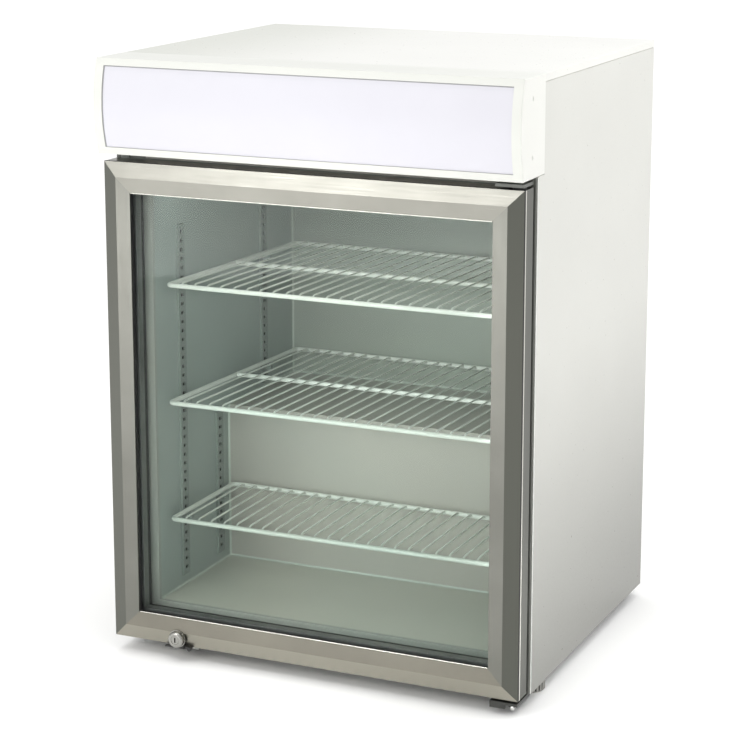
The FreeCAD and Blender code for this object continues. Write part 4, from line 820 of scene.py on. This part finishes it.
@dataclass
class Canopy(SubAssembly):
    """Sign canopy with its cap screws and a grey line of painted shadow round the sign."""

    half_width: float = 300.0
    cap_screw: CrossHead = CrossHead(3.2, 0.5)
    cap_screw_y: float = -227.5
    cap_screw_z: tuple[float, float] = (726.0, 799.0)
    sign_half: float = 286.7
    sign_low: float = 708.8
    sign_high: float = 816.2
    curve_y: float = -77.7
    curve_z: float = 762.5
    curve_radius: float = 187.3
    shadow_radius: float = 0.65
    edge_steps: int = 25
    edge_sides: int = 8

    def finishes(self) -> dict[str, Finish]:
        """White mouldings round an opal sign."""
        mouldings = ("canopy_cap_left", "canopy_cap_right", "canopy_top_rail", "canopy_bottom_rail")
        return {**dict.fromkeys(mouldings, CANOPY_ABS), "sign_panel": OPAL_ACRYLIC,
                "canopy_tray": TRAY_PAINT, "led_batten": LAMP_LENS}

    def edge(self) -> Surface:
        """A round grey line on the sign's face, along its top and down its bowed left end: painted shadow.

        At height z the face lies at the bow's middle, less the root of its radius squared less z squared.

        Returns:
            Both runs in one surface.
        """
        height = np.linspace(self.sign_low, self.sign_high, self.edge_steps) - self.shadow_radius
        depth = self.curve_y - np.sqrt(self.curve_radius ** 2 - (height - self.curve_z) ** 2)
        reach = self.sign_half - self.shadow_radius
        bow = np.stack([np.full_like(depth, -reach), depth, height], axis=-1)
        top = np.array([(-reach, depth[-1], height[-1]), (reach, depth[-1], height[-1])])
        return merged([tube(bow, self.shadow_radius, self.edge_sides, (1, 0, 0)),
                       tube(top, self.shadow_radius, self.edge_sides, (0, 0, 1))])

    def pieces(self) -> list[Piece]:
        """The four cap screws in their holes, and the sign's painted shadow line.

        Returns:
            Two pieces on the cabinet.
        """
        rim = self.half_width - self.cap_screw.crown
        caps = [self.cap_screw.surface((side * rim, self.cap_screw_y, z), Axis.X, side)
                for side in BOTH_SIDES for z in self.cap_screw_z]
        return [Piece("cap_screws", "cabinet", "zinc_steel", POWDER_COAT, merged(caps), ("cover_screws",)),
                # The grey line round the sign is painted shadow.
                Piece("sign_shadow_line", "cabinet", "white_moulding", SIGN_SHADOW, self.edge())]


@dataclass
class GlassDoor(SubAssembly):
    """Mitred aluminium door with panes, bright edges of painted highlight, a bellows gasket and black painted
    shade.

    Insets are measured in from the door's edge; the bright edges and lips give inset, depth and radius.
    """

    half_width: float = 297.5
    low_z: float = 22.5
    high_z: float = 687.5
    back_y: float = -214.0
    gasket_span: float = 62.0
    pleats: Profile = ((38.0, 0.0), (38.0, 1.3), (36.6, 1.7), (36.0, 2.3), (36.7, 2.9), (37.1, 3.6),
                       (36.6, 4.4), (35.4, 5.2))
    # Black painted shade: on the frame round the door, then in the door's edge groove, as insets and depths.
    gap_shade_inset: tuple[float, float] = (1.0, 9.0)
    gap_shade_y: tuple[float, float] = (-208.5, -209.0)
    groove_inset: tuple[float, float] = (-0.15, 1.5)
    groove_y: tuple[float, float] = (-245.2, -241.3)
    corner: Point = (0.2, -240.1, 1.1)
    lip: Point = (40.5, -248.1, 0.9)
    opening: float = 256.5
    edge_sides: int = 10

    def finishes(self) -> dict[str, Finish]:
        """Aluminium drawn lengthwise, clear panes, black seals."""
        return {"door_rail_top": ANODISED_RAIL, "door_rail_bottom": ANODISED_SILL,
                "door_stile_left": ANODISED_STILE, "door_stile_right": STILE_RIGHT,
                "glass_outer": FLOAT_GLASS, "glass_inner": FLOAT_GLASS, "glass_spacer": SPACER,
                "glazing_seal": RUBBER, "glazing_bead": NYLON, "door_corner_keys": NYLON,
                "hinge_bushes": NYLON}

    def ring(self, profile: Sequence[tuple[float, float]]) -> Surface:
        """Carry a profile round the door.

        At each corner a profile point lies its own inset in from both edges, which mitres the corners.

        Args:
            profile: inset from the door's edge and depth along Y of each profile point.

        Returns:
            The closed ring.
        """
        inset, depth = np.array(profile, float).T
        side = np.array([-1.0, 1.0, 1.0, -1.0])[:, None]
        top = np.array([False, False, True, True])[:, None]
        x = side * (self.half_width - inset)
        z = np.where(top, self.high_z - inset, self.low_z + inset)
        return lattice(np.stack([x, np.broadcast_to(depth, x.shape), z], axis=-1),
                       wrap_rows=True, wrap_columns=True)

    def band(self, insets: tuple[float, float], depths: tuple[float, float]) -> Surface:
        """A flat band round the door, between two insets and two depths."""
        (outer, inner), (first, last) = insets, depths
        return self.ring([(outer, first), (outer, last), (inner, last), (inner, first)])

    def gasket(self) -> Surface:
        """A foot, two pleated walls and a pocket: the outer wall's points, and their mirror image.

        Returns:
            The gasket's ring.
        """
        outer = [(inset, self.back_y + depth) for inset, depth in self.pleats]
        return self.ring(outer + [(self.gasket_span - inset, depth) for inset, depth in reversed(outer)])

    def edges(self) -> Surface:
        """Round edges: upright ones at the door's outer corners, level ones along the rails' inner lips.

        Returns:
            The four edges in one surface.
        """
        inset, depth, radius = self.corner
        sides = [tube(np.array([(side * (self.half_width - inset), depth, z)
                                for z in (self.low_z, self.high_z)]), radius, self.edge_sides, (0, 1, 0))
                 for side in BOTH_SIDES]
        inset, depth, radius = self.lip
        levels = [tube(np.array([(side * self.opening, depth, z) for side in BOTH_SIDES]), radius,
                       self.edge_sides, (0, 0, 1)) for z in (self.low_z + inset, self.high_z - inset)]
        return merged(sides + levels)

    def pieces(self) -> list[Piece]:
        """The gasket, black painted shade on the frame and in the door's groove, and the bright edges.

        Returns:
            Three pieces on the door, and the frame's painted shade on the cabinet.
        """
        gap_shade = self.band(self.gap_shade_inset, self.gap_shade_y)
        strip = self.band(self.groove_inset, self.groove_y)
        return [Piece("bellows_gasket", "door", "black_rubber", RUBBER, self.gasket(), ("door_gasket",)),
                # Black band on the face frame in the gap round the door: painted shade.
                Piece("frame_gap_shade", "cabinet", "black_rubber", RUBBER, gap_shade),
                # Black band in the door's edge groove: painted shade.
                Piece("groove_shade", "door", "black_rubber", RUBBER, strip),
                # The bright edges' pale finish is a painted highlight.
                Piece("bright_edges", "door", "satin_aluminium", BRIGHT_EDGE, self.edges())]


@dataclass
class Hinges(SubAssembly):
    """Hinge brackets, with a bright domed bolt in the front of the lower one."""

    bolt: Point = (290.0, -243.5, 12.5)
    bolt_radius: float = 3.0
    bolt_seat: float = 0.2
    bolt_flank: float = 1.0
    bolt_crown: float = 1.4
    dome_steps: int = 8
    bolt_sides: int = 32

    def finishes(self) -> dict[str, Finish]:
        """A grey enamelled plate above and a dark bracket below."""
        return {"hinge_bracket_top": HINGE_PLATE, "hinge_bracket_bottom": BRACKET}

    def pieces(self) -> list[Piece]:
        """The bolt head: a short flank, then a quarter of an ellipse up to the middle.

        Returns:
            One piece on the cabinet.
        """
        turn = np.linspace(0.0, QUARTER_TURN, self.dome_steps)
        height = -self.bolt_flank - self.bolt_crown * np.sin(turn)
        dome = np.stack([self.bolt_radius * np.cos(turn), height], axis=-1)
        profile = [(0.0, self.bolt_seat), (self.bolt_radius, self.bolt_seat), *dome.tolist()]
        head = lathe(profile, self.bolt, Axis.Y, self.bolt_sides)
        return [Piece("bracket_bolt", "cabinet", "bright_chrome", CHROME, head)]


@dataclass
class DoorLock(SubAssembly):
    """Key lock with a domed barrel, a black seat with splayed legs, a plug and a keeper.

    Radii in the mouth are measured from the bore and in the collar from the head; the seat's sections
    give X from the lock's middle and Z from the rail's underside.
    """

    x: float = -196.5
    z: float = 34.0
    face_y: float = -260.5
    back_y: float = -214.0
    rail_z: float = 22.5
    bore: float = 6.08
    body: float = 8.0
    body_start: float = 8.8
    head: float = 11.5
    dome: tuple[float, float] = (3.6, 4.2)
    dome_start: float = 0.1
    dome_steps: int = 9
    sides: int = 64
    mouth: Profile = ((0.0, 1.4), (0.0, 0.5), (0.5, 0.1))
    collar: Profile = ((0.0, 6.0), (-1.0, 6.3), (-1.0, 6.8), (0.8, 7.0), (1.0, 7.6), (0.8, 8.6))
    seat_y: tuple[float, float] = (-251.4, -245.7)
    left_y: tuple[float, float] = (-250.4, -245.7)
    saddle: Profile = ((-9.0, 3.4), (9.0, 3.4), (11.5, 0.4), (9.5, -2.6), (-9.5, -2.6), (-11.5, 0.4))
    left_leg: Profile = ((-9.0, 1.2), (-9.0, -2.4), (-20.6, -3.6), (-21.4, -2.2))
    right_leg: Profile = ((9.0, 1.8), (19.0, 0.4), (20.4, -1.0), (17.6, -5.0), (15.6, -4.6), (13.2, -1.4),
                          (9.0, -2.2))

    def finishes(self) -> dict[str, Finish]:
        """Nickel plug, zinc keeper."""
        return {"lock_plug": NICKEL, "lock_keeper": ZINC}

    def barrel(self) -> Surface:
        """The mouth round the bore, a quarter ellipse, a collar, and the body back to the rail's far side.

        Returns:
            The turned barrel.
        """
        long = self.back_y - self.face_y
        turn = np.linspace(0.0, QUARTER_TURN, self.dome_steps)
        wide, deep = self.dome
        dome = np.stack([self.head - wide * (1.0 - np.sin(turn)),
                         deep * (1.0 - np.cos(turn)) + self.dome_start], axis=-1)
        profile = np.concatenate([np.array(self.mouth) + (self.bore, 0.0), dome,
                                  np.array(self.collar) + (self.head, 0.0),
                                  [(self.body, self.body_start), (self.body, long), (self.bore, long)]])
        return lathe(profile, (self.x, self.face_y, self.z), Axis.Y, self.sides, ring=True)

    def seat(self) -> Surface:
        """The black seat: a saddle behind the head and two legs that splay out under the rail.

        Returns:
            The seat's surface.
        """
        parts = ((self.saddle, self.seat_y), (self.left_leg, self.left_y), (self.right_leg, self.seat_y))
        return merged(prism(np.insert(np.array(section), 1, 0.0, axis=1), (self.x, near, self.rail_z),
                            (self.x, far, self.rail_z)) for section, (near, far) in parts)

    def pieces(self) -> list[Piece]:
        """The barrel and its seat."""
        return [Piece("lock_dome", "door", "bright_chrome", NICKEL, self.barrel(), ("lock_barrel",)),
                Piece("lock_saddle", "door", "black_plastic", NYLON, self.seat(), ("lock_seat",))]


@dataclass
class Shelving(SubAssembly):
    """Slotted strips, clips and three coated wire shelves, with black painted shade behind the strips' slots.
    """

    half_width: float = 236.8
    front: float = -53.8
    deep: float = 341.8
    shallow: float = 128.8
    bend: float = 8.0
    bar: float = 3.2
    wire: float = 1.3
    wire_rise: float = 3.7
    wire_dip: float = 3.2
    dip_run: float = 9.0
    dip_steps: int = 7
    wire_sides: int = 10
    bar_sides: int = 16
    bend_steps: int = 10
    pitch: float = 19.7
    count: int = 23
    pivot_y: float = -135.5
    top_z: float = 511.5
    middle_z: float = 346.4
    bottom_z: float = 181.3
    tilt: float = math.atan2(7.0, 250.0)
    # Where the painted slot shade lies: the walls' X, half thickness and half width, and each run's Y, foot
    # and top.
    shade_x: float = 247.3
    shade_half: tuple[float, float] = (0.4, 5.4)
    shade_runs: tuple[tuple[float, float, float], ...] = (
        (-135.5, 85.0, 586.4), (114.5, 306.6, 617.5), (-30.5, 85.0, 294.3))

    def finishes(self) -> dict[str, Finish]:
        """Strips and clips in the liner's own coating."""
        return {"shelf_strips": STRIP, "shelf_clips": STRIP}

    def wires(self, rear: float) -> Surface:
        """Wires that lie over the bars and dip into the front and back ones.

        Along a wire, the height is its rise, less the dip times a smooth step that grows from none to
        all over the last few millimetres at either end. Every wire is the same path at its own place.

        Args:
            rear: where the back bar is.

        Returns:
            All the wires in one surface.
        """
        ends = np.linspace(0.0, 1.0, self.dip_steps) * self.dip_run
        along = np.concatenate([self.front + ends, rear - ends[::-1]])
        share = np.clip(np.minimum(along - self.front, rear - along) / self.dip_run, 0.0, 1.0)
        height = self.wire_rise - self.wire_dip * (1.0 - share * share * (3.0 - 2.0 * share))
        path = np.stack([np.zeros_like(along), along, height], axis=-1)
        one = tube(path, self.wire, self.wire_sides, (1, 0, 0))
        places = (np.arange(self.count) - (self.count - 1) / 2.0) * self.pitch
        return merged(Surface(one.points + (x, 0.0, 0.0), one.faces) for x in places)

    def shelf(self, rear: float, rest_z: float, tilt: float, braced: bool) -> Surface:
        """A bent hoop and the wires, with a middle bar if braced, tipped about the front clips.

        The turn about X sends Y to Y cos + Z sin and Z to Z cos - Y sin.

        Args:
            rear: where the back bar is, from the front clips.
            rest_z: the bars' height at the front clips.
            tilt: how far the back hangs down, in radians.
            braced: whether there is a middle bar.

        Returns:
            The shelf in its place.
        """
        loop = rounded_loop(self.half_width, self.front, rear, self.bend, self.bend_steps)
        parts = [tube(loop, self.bar, self.bar_sides, (0, 0, 1), loop=True), self.wires(rear)]
        if braced:
            middle = (self.front + rear) / 2.0
            ends = np.array([(side * self.half_width, middle, 0.0) for side in BOTH_SIDES])
            parts.append(tube(ends, self.bar, self.bar_sides, (0, 0, 1)))
        whole = merged(parts)
        x, y, z = whole.points.T
        cos, sin = math.cos(tilt), math.sin(tilt)
        tipped = np.stack([x, y * cos + z * sin, z * cos - y * sin], axis=-1)
        return Surface(tipped + np.array([0.0, self.pivot_y, rest_z]), whole.faces)

    def slot_shades(self) -> Surface:
        """Black painted shade on the walls behind the slots, as one thin block for each strip.

        Returns:
            The six blocks in one surface.
        """
        thick, wide = self.shade_half
        return merged(slab((x - thick, y - wide, low), (x + thick, y + wide, high))
                      for x in (-self.shade_x, self.shade_x) for y, low, high in self.shade_runs)

    def pieces(self) -> list[Piece]:
        """The three shelves, of which the two deep ones hang down at the back, and the slot shade.

        Returns:
            One piece on each shelf's body, and the slot shade on the cabinet.
        """
        levels = {"top": (WIRE_COAT, self.deep, self.top_z, self.tilt, True),
                  "middle": (WIRE_MIDDLE, self.deep, self.middle_z, self.tilt, True),
                  "bottom": (WIRE_BOTTOM, self.shallow, self.bottom_z, 0.0, False)}
        shelves = [Piece(f"wire_shelf_{level}", f"shelf_{level}", "coated_wire", coat, self.shelf(*sizes),
                         (f"shelf_{level}",)) for level, (coat, *sizes) in levels.items()]
        return shelves + [Piece("slot_shade_blocks", "cabinet", "black_rubber", SLOT_SHADE, self.slot_shades())]


@dataclass
class CoolingUnit(SubAssembly):
    """Evaporator above the cabin and the machinery in the bay, with a wire guard under the cabin fan."""

    fan_y: float = -37.5
    cover_z: float = 663.0
    guard_wire: float = 1.1
    guard_rings: tuple[float, ...] = (18.0, 29.0, 40.0, 51.0, 62.0)
    ring_steps: int = 60
    spokes: int = 6
    spoke_drop: float = 1.6
    wire_sides: int = 8

    def finishes(self) -> dict[str, Finish]:
        """Coated cover, fin stock, enamelled motors, black pot, copper pipes."""
        return {"evaporator_cover": LINER_FLOOR, "evaporator_coil": FIN_STOCK, "condenser": FIN_STOCK,
                "evaporator_fan_motor": MOTOR_CAN, "condenser_fan_motor": MOTOR_CAN,
                "evaporator_fan_blade": NYLON, "condenser_fan_blade": NYLON,
                "compressor": POT_ENAMEL, "refrigerant_pipes": COPPER}

    def guard(self) -> Surface:
        """Rings round the fan's axis, with straight spokes under them, against the cover's underside.

        Returns:
            The guard's surface.
        """
        wire = self.guard_wire
        centre = np.array([0.0, self.fan_y, self.cover_z - wire])
        below = centre - (0.0, 0.0, self.spoke_drop * wire)
        circle, rays = (np.stack([np.cos(turn), np.sin(turn), np.zeros_like(turn)], axis=-1)
                        for turn in (turns(self.ring_steps), turns(self.spokes)))
        inner, outer = self.guard_rings[0], self.guard_rings[-1]
        rings = [tube(centre + radius * circle, wire, self.wire_sides, (0, 0, 1), loop=True)
                 for radius in self.guard_rings]
        spokes = [tube(np.stack([below + inner * ray, below + outer * ray]), wire, self.wire_sides, (0, 0, 1))
                  for ray in rays]
        return merged(rings + spokes)

    def pieces(self) -> list[Piece]:
        """The fan guard."""
        return [Piece("fan_guard", "cabinet", "coated_wire", WIRE_COAT, self.guard())]


@dataclass
class RearPanel(SubAssembly):
    """Louvred grille with hoods and screws, thermostat with its scale, and the cable gland.

    Profiles give radius and distance out from the panel; the pointer's corners are measured from the hub.
    """

    face_y: float = 251.5
    middle_z: float = 137.5
    rows: int = 9
    row_pitch: float = 18.0
    columns: tuple[float, ...] = (-140.0, 0.0, 140.0)
    slot_length: float = 120.0
    slot_height: float = 6.0
    hood_depth: float = 4.0
    hood_lift: float = 0.05
    hood_lap: float = 2.0
    hood_top: float = 2.5
    hood_drop: float = 1.5
    hood_wall: float = 0.8
    hood_grid: tuple[int, int] = (21, 6)
    hood_power: int = 10
    knob_x: float = -244.0
    knob_z: float = 78.0
    knob_profile: Profile = ((0.0, -10.0), (3.0, -10.0), (3.0, 0.4), (15.0, 0.4), (15.0, 2.0), (14.2, 2.8),
                             (11.6, 3.2), (11.2, 4.0), (10.9, 9.6), (10.3, 10.7), (9.2, 11.4), (0.0, 11.4))
    knob_grip: tuple[float, ...] = (0, 0, 0, 0, 0, 0, 0, 0.04, 0.04, 0.03, 0, 0)
    knob_sides: int = 120
    flutes: int = 20
    pointer_low: Point = (-0.7, 11.35, 1.0)
    pointer_high: Point = (0.7, 11.65, 9.0)
    scale_marks: int = 9
    scale_start: float = 90.0
    scale_step: float = 33.75
    scale_half: float = 0.5
    scale_rise: float = 0.25
    scale_inner: float = 17.5
    scale_outer: tuple[float, float] = (23.0, 21.0)
    gland_x: float = 244.0
    gland_z: float = 58.0
    gland_sides: int = 72
    gland_profile: Profile = ((4.1, -18.0), (9.0, -18.0), (9.0, 0.0), (12.0, 0.0), (12.0, 1.2), (11.6, 1.4),
                              (11.6, 3.4), (10.8, 4.0), (5.0, 4.0), (4.1, 3.4))
    gland_nut: tuple[int, ...] = (0, 0, 0, 0, 0, 1, 1, 1, 0, 0)
    screw: CrossHead = CrossHead(3.4, 1.1)
    screw_x: float = 288.0
    screw_z: tuple[float, ...] = (34.0, 137.5, 241.0)

    def finishes(self) -> dict[str, Finish]:
        """Grey powder coat."""
        return {"rear_grille": GRILLE_COAT}

    def hoods(self) -> Surface:
        """Pressed hoods over the slots.

        Over s along the slot and t down it, a hood stands out from the panel by its depth times the
        sine of a quarter turn of t, times one less the tenth power of s, so that its ends run flat.

        Returns:
            All the hoods in one surface.
        """
        across, down = self.hood_grid
        s, t = np.meshgrid(np.linspace(-1.0, 1.0, across), np.linspace(0.0, 1.0, down))
        half = self.slot_length / 2.0 + self.hood_lap
        out = self.hood_depth * np.sin(t * QUARTER_TURN) * (1.0 - s ** self.hood_power)
        fall = self.slot_height / 2.0 + self.hood_top - t * (self.slot_height + self.hood_drop)
        patch = np.stack([s * half, self.face_y + self.hood_lift + out, fall], axis=-1)
        levels = self.middle_z + (np.arange(self.rows) - (self.rows - 1) / 2.0) * self.row_pitch
        return merged(lattice(patch + np.array([x, 0.0, z])) for x in self.columns for z in levels)

    def knob(self) -> Surface:
        """A skirted knob: its grip is fluted, the radius rising and falling with the cosine of the flutes.

        Returns:
            The knob's surface.
        """
        wave = np.cos(self.flutes * turns(self.knob_sides))
        swell = 1.0 + np.array(self.knob_grip)[:, None] * wave
        return lathe(self.knob_profile, (self.knob_x, self.face_y, self.knob_z), Axis.Y, self.knob_sides,
                     swell=swell)

    def scale(self) -> Surface:
        """Short radial bars round the knob over three quarters of a turn, long and short by turns.

        Returns:
            The scale's surface.
        """
        hub, out = np.array([self.knob_x, self.face_y, self.knob_z]), np.array([0.0, self.scale_rise, 0.0])
        bars = []
        for mark in range(self.scale_marks):
            angle = math.radians(self.scale_start + self.scale_step * mark)
            ray = np.array([math.cos(angle), 0.0, math.sin(angle)])
            side = np.array([-ray[2], 0.0, ray[0]]) * self.scale_half
            section = np.array([-side, side, side + out, out - side])
            bars.append(prism(section, hub + ray * self.scale_inner, hub + ray * self.scale_outer[mark % 2]))
        return merged(bars)

    def gland(self) -> Surface:
        """A six-sided nut on a round flange.

        The nut's radius over the turn is its flat's half width over the cosine of the angle from the
        nearest flat's middle.

        Returns:
            The gland's surface.
        """
        turn = turns(self.gland_sides)
        hexagon = math.cos(math.pi / 6.0) / np.cos(np.mod(turn, math.pi / 3.0) - math.pi / 6.0)
        swell = np.where(np.array(self.gland_nut, bool)[:, None], hexagon, 1.0)
        return lathe(self.gland_profile, (self.gland_x, self.face_y, self.gland_z), Axis.Y, self.gland_sides,
                     swell=swell, ring=True)

    def pieces(self) -> list[Piece]:
        """Hoods, panel screws, knob with pointer and scale, and gland.

        Returns:
            Two pieces on the thermostat, and four on the cabinet.
        """
        screws = [self.screw.surface((side * self.screw_x, self.face_y, z), Axis.Y, 1.0)
                  for side in BOTH_SIDES for z in self.screw_z]
        hub = np.array([self.knob_x, self.face_y, self.knob_z])
        pointer = slab(hub + self.pointer_low, hub + self.pointer_high)
        return [Piece("louvre_hoods", "cabinet", "grille_enamel", GRILLE_COAT, self.hoods(),
                      wall_mm=self.hood_wall),
                Piece("panel_screws", "cabinet", "zinc_steel", ZINC, merged(screws)),
                Piece("fluted_knob", "thermostat", "black_plastic", NYLON, self.knob(), ("thermostat_knob",)),
                Piece("knob_pointer", "thermostat", "white_moulding", WHITE_ABS, pointer),
                Piece("thermostat_scale", "cabinet", "grille_enamel", SCALE_INK, self.scale()),
                Piece("hexagon_gland", "cabinet", "black_plastic", NYLON, self.gland(), ("cable_gland",))]


@dataclass
class LevellingFeet(SubAssembly):
    """Ribbed feet over a dark core, which shows between the ribs as painted shade."""

    places: tuple[tuple[str, float, float], ...] = (
        ("foot_front_left", -275.0, -140.5), ("foot_front_right", 275.0, -140.5),
        ("foot_rear_left", -240.0, 221.5), ("foot_rear_right", 240.0, 221.5))
    core: float = 20.5
    rib_shade_z: tuple[float, float] = (1.8, 17.2)
    rib_shade_sides: int = 48

    def finishes(self) -> dict[str, Finish]:
        """Grey rubber."""
        return dict.fromkeys((name for name, _, _ in self.places), FOOT_RUBBER)

    def pieces(self) -> list[Piece]:
        """A dark core in each foot, painted shade between the ribs.

        Returns:
            One piece on each foot's body.
        """
        low, high = self.rib_shade_z
        profile = [(0.0, low), (self.core, low), (self.core, high), (0.0, high)]
        return [Piece(f"{name}_core", name, "foot_rubber", RUBBER,
                      lathe(profile, (x, y, 0.0), Axis.Z, self.rib_shade_sides)) for name, x, y in self.places]


# Studio

@dataclass(frozen=True)
class Softbox:
    """A soft rectangular lamp in metres: where it stands, what it faces, how large and how strong it is."""

    name: str
    place: tuple[float, float, float]
    aim: tuple[float, float, float]
    size: tuple[float, float]
    watts: float
    grid: float = 180.0

    def hang(self) -> None:
        """Hang the lamp, turned to face its aim, with its light held within the grid's angle in degrees."""
        lamp = bpy.data.lights.new(self.name, "AREA")
        lamp.spread = math.radians(self.grid)
        lamp.shape = "RECTANGLE"
        lamp.size, lamp.size_y = self.size
        lamp.energy = self.watts
        thing = bpy.data.objects.new(self.name, lamp)
        thing.location = self.place
        thing.rotation_euler = (Vector(self.aim) - Vector(self.place)).to_track_quat("-Z", "Y").to_euler()
        thing.visible_camera = False
        bpy.context.scene.collection.objects.link(thing)


@dataclass(frozen=True)
class Skylight:
    """A wide overhead light that falls alike on the whole floor: its strength and its width in degrees."""

    name: str
    strength: float
    spread: float

    def hang(self) -> None:
        """Hang the light straight overhead."""
        lamp = bpy.data.lights.new(self.name, "SUN")
        lamp.energy = self.strength
        lamp.angle = math.radians(self.spread)
        bpy.context.scene.collection.objects.link(bpy.data.objects.new(self.name, lamp))


@dataclass
class Studio:
    """Camera, seamless paper, soft lamps and the room's own light, in metres."""

    camera_place: tuple[float, float, float] = (1.23418, -2.78469, 1.14247)
    azimuth: float = math.radians(24.128)
    elevation: float = math.radians(11.966)
    lens: float = 107.417
    sensor: float = 36.0
    shift_y: float = -0.12
    paper_half: float = 20.0
    paper_steps: int = 9
    room_low: str = "#F6F6F6"
    room_high: str = "#FFFFFF"
    room_span: tuple[float, float] = (-0.1, 0.6)
    room_strength: float = 0.97
    lamps: tuple[Softbox | Skylight, ...] = (
        Skylight("overhead", 0.75, 45.0),
        Softbox("paper_softbox", (-1.1, -2.6, 1.6), (-1.1, -2.5, 0.0), (1.2, 0.9), 32.0),
        Softbox("floor_softbox", (1.5, -0.6, 1.3), (0.75, -0.12, 0.0), (0.4, 0.4), 0.85, 26.0),
        Softbox("front_softbox", (-0.3, -1.3, 1.6), (-0.05, -0.52, 0.0), (0.4, 0.4), 0.36, 20.0),
        Softbox("right_softbox", (0.95, 0.1, 1.25), (0.3, 0.05, 0.6), (0.4, 0.4), 2.0),
        Softbox("low_softbox", (-1.0, -2.5, 0.22), (0.0, -0.2, 0.5), (1.4, 0.36), 4.8),
        Softbox("cabin_softbox", (0.45, -3.0, 1.3), (0.0, -0.15, 0.34), (0.4, 0.4), 0.35, 14.0),
        Softbox("shelf_softbox", (0.0, -0.18, 0.655), (0.0, 0.02, 0.3), (0.46, 0.03), 0.155),
        Softbox("side_softbox", (0.24, -0.206, 0.36), (-0.1, 0.02, 0.36), (0.012, 0.5), 0.06),
    )

    def camera(self) -> None:
        """Set the camera at the picture's own angle."""
        lens = bpy.data.cameras.new("camera")
        lens.lens = self.lens
        lens.sensor_width = self.sensor
        lens.shift_y = self.shift_y
        thing = bpy.data.objects.new("camera", lens)
        thing.location = self.camera_place
        thing.rotation_euler = Euler((QUARTER_TURN - self.elevation, 0.0, self.azimuth))
        bpy.context.scene.collection.objects.link(thing)
        bpy.context.scene.camera = thing

    def room(self) -> None:
        """Light the room almost evenly, a shade brighter behind the freezer."""
        world = bpy.data.worlds.new("room")
        world.use_nodes = True
        tree = world.node_tree
        tree.nodes.clear()
        low, high = self.room_span
        heading = add(tree, "ShaderNodeTexCoord").outputs["Generated"]
        parts = add(tree, "ShaderNodeSeparateXYZ", None, {"Vector": heading})
        rise = add(tree, "ShaderNodeMapRange", {"From Min": low, "From Max": high},
                   {"Value": parts.outputs["Y"]})
        colour = add(tree, "ShaderNodeMix",
                     {"data_type": "RGBA", 6: linear(self.room_low), 7: linear(self.room_high)},
                     {0: rise.outputs["Result"]})
        light = add(tree, "ShaderNodeBackground", {"Strength": self.room_strength},
                    {"Color": colour.outputs[2]})
        add(tree, "ShaderNodeOutputWorld", None, {"Surface": light.outputs["Background"]})
        bpy.context.scene.world = world

    def paper(self) -> None:
        """Lay the paper flat under the freezer."""
        across = np.linspace(-self.paper_half, self.paper_half, self.paper_steps)
        x, y = np.meshgrid(across, across)
        flat = lattice(np.stack([x, y, np.zeros_like(x)], axis=-1))
        mesh = bpy.data.meshes.new("paper")
        mesh.from_pydata(flat.points.tolist(), [], flat.faces.tolist())
        mesh.materials.append(PAPER.make())
        thing = bpy.data.objects.new("paper", mesh)
        bpy.context.scene.collection.objects.link(thing)

    def build(self) -> None:
        """Set up the studio, and report it."""
        self.camera()
        self.room()
        self.paper()
        for lamp in self.lamps:
            lamp.hang()
        bpy.context.scene.view_settings.view_transform = "Standard"
        LOG.info("studio set with %d lamps", len(self.lamps))


def main() -> None:
    """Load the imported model, build each sub-assembly in order and set the studio."""
    logging.basicConfig(level=logging.INFO, format="%(name)s: %(message)s")
    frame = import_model()
    parts: tuple[SubAssembly, ...] = (Cabinet(), Canopy(), GlassDoor(), Hinges(), DoorLock(), Shelving(),
                                      CoolingUnit(), RearPanel(), LevellingFeet())
    for part in parts:
        part.build(frame["nodes"])
    Studio().build()


if __name__ == "__main__":
    main()
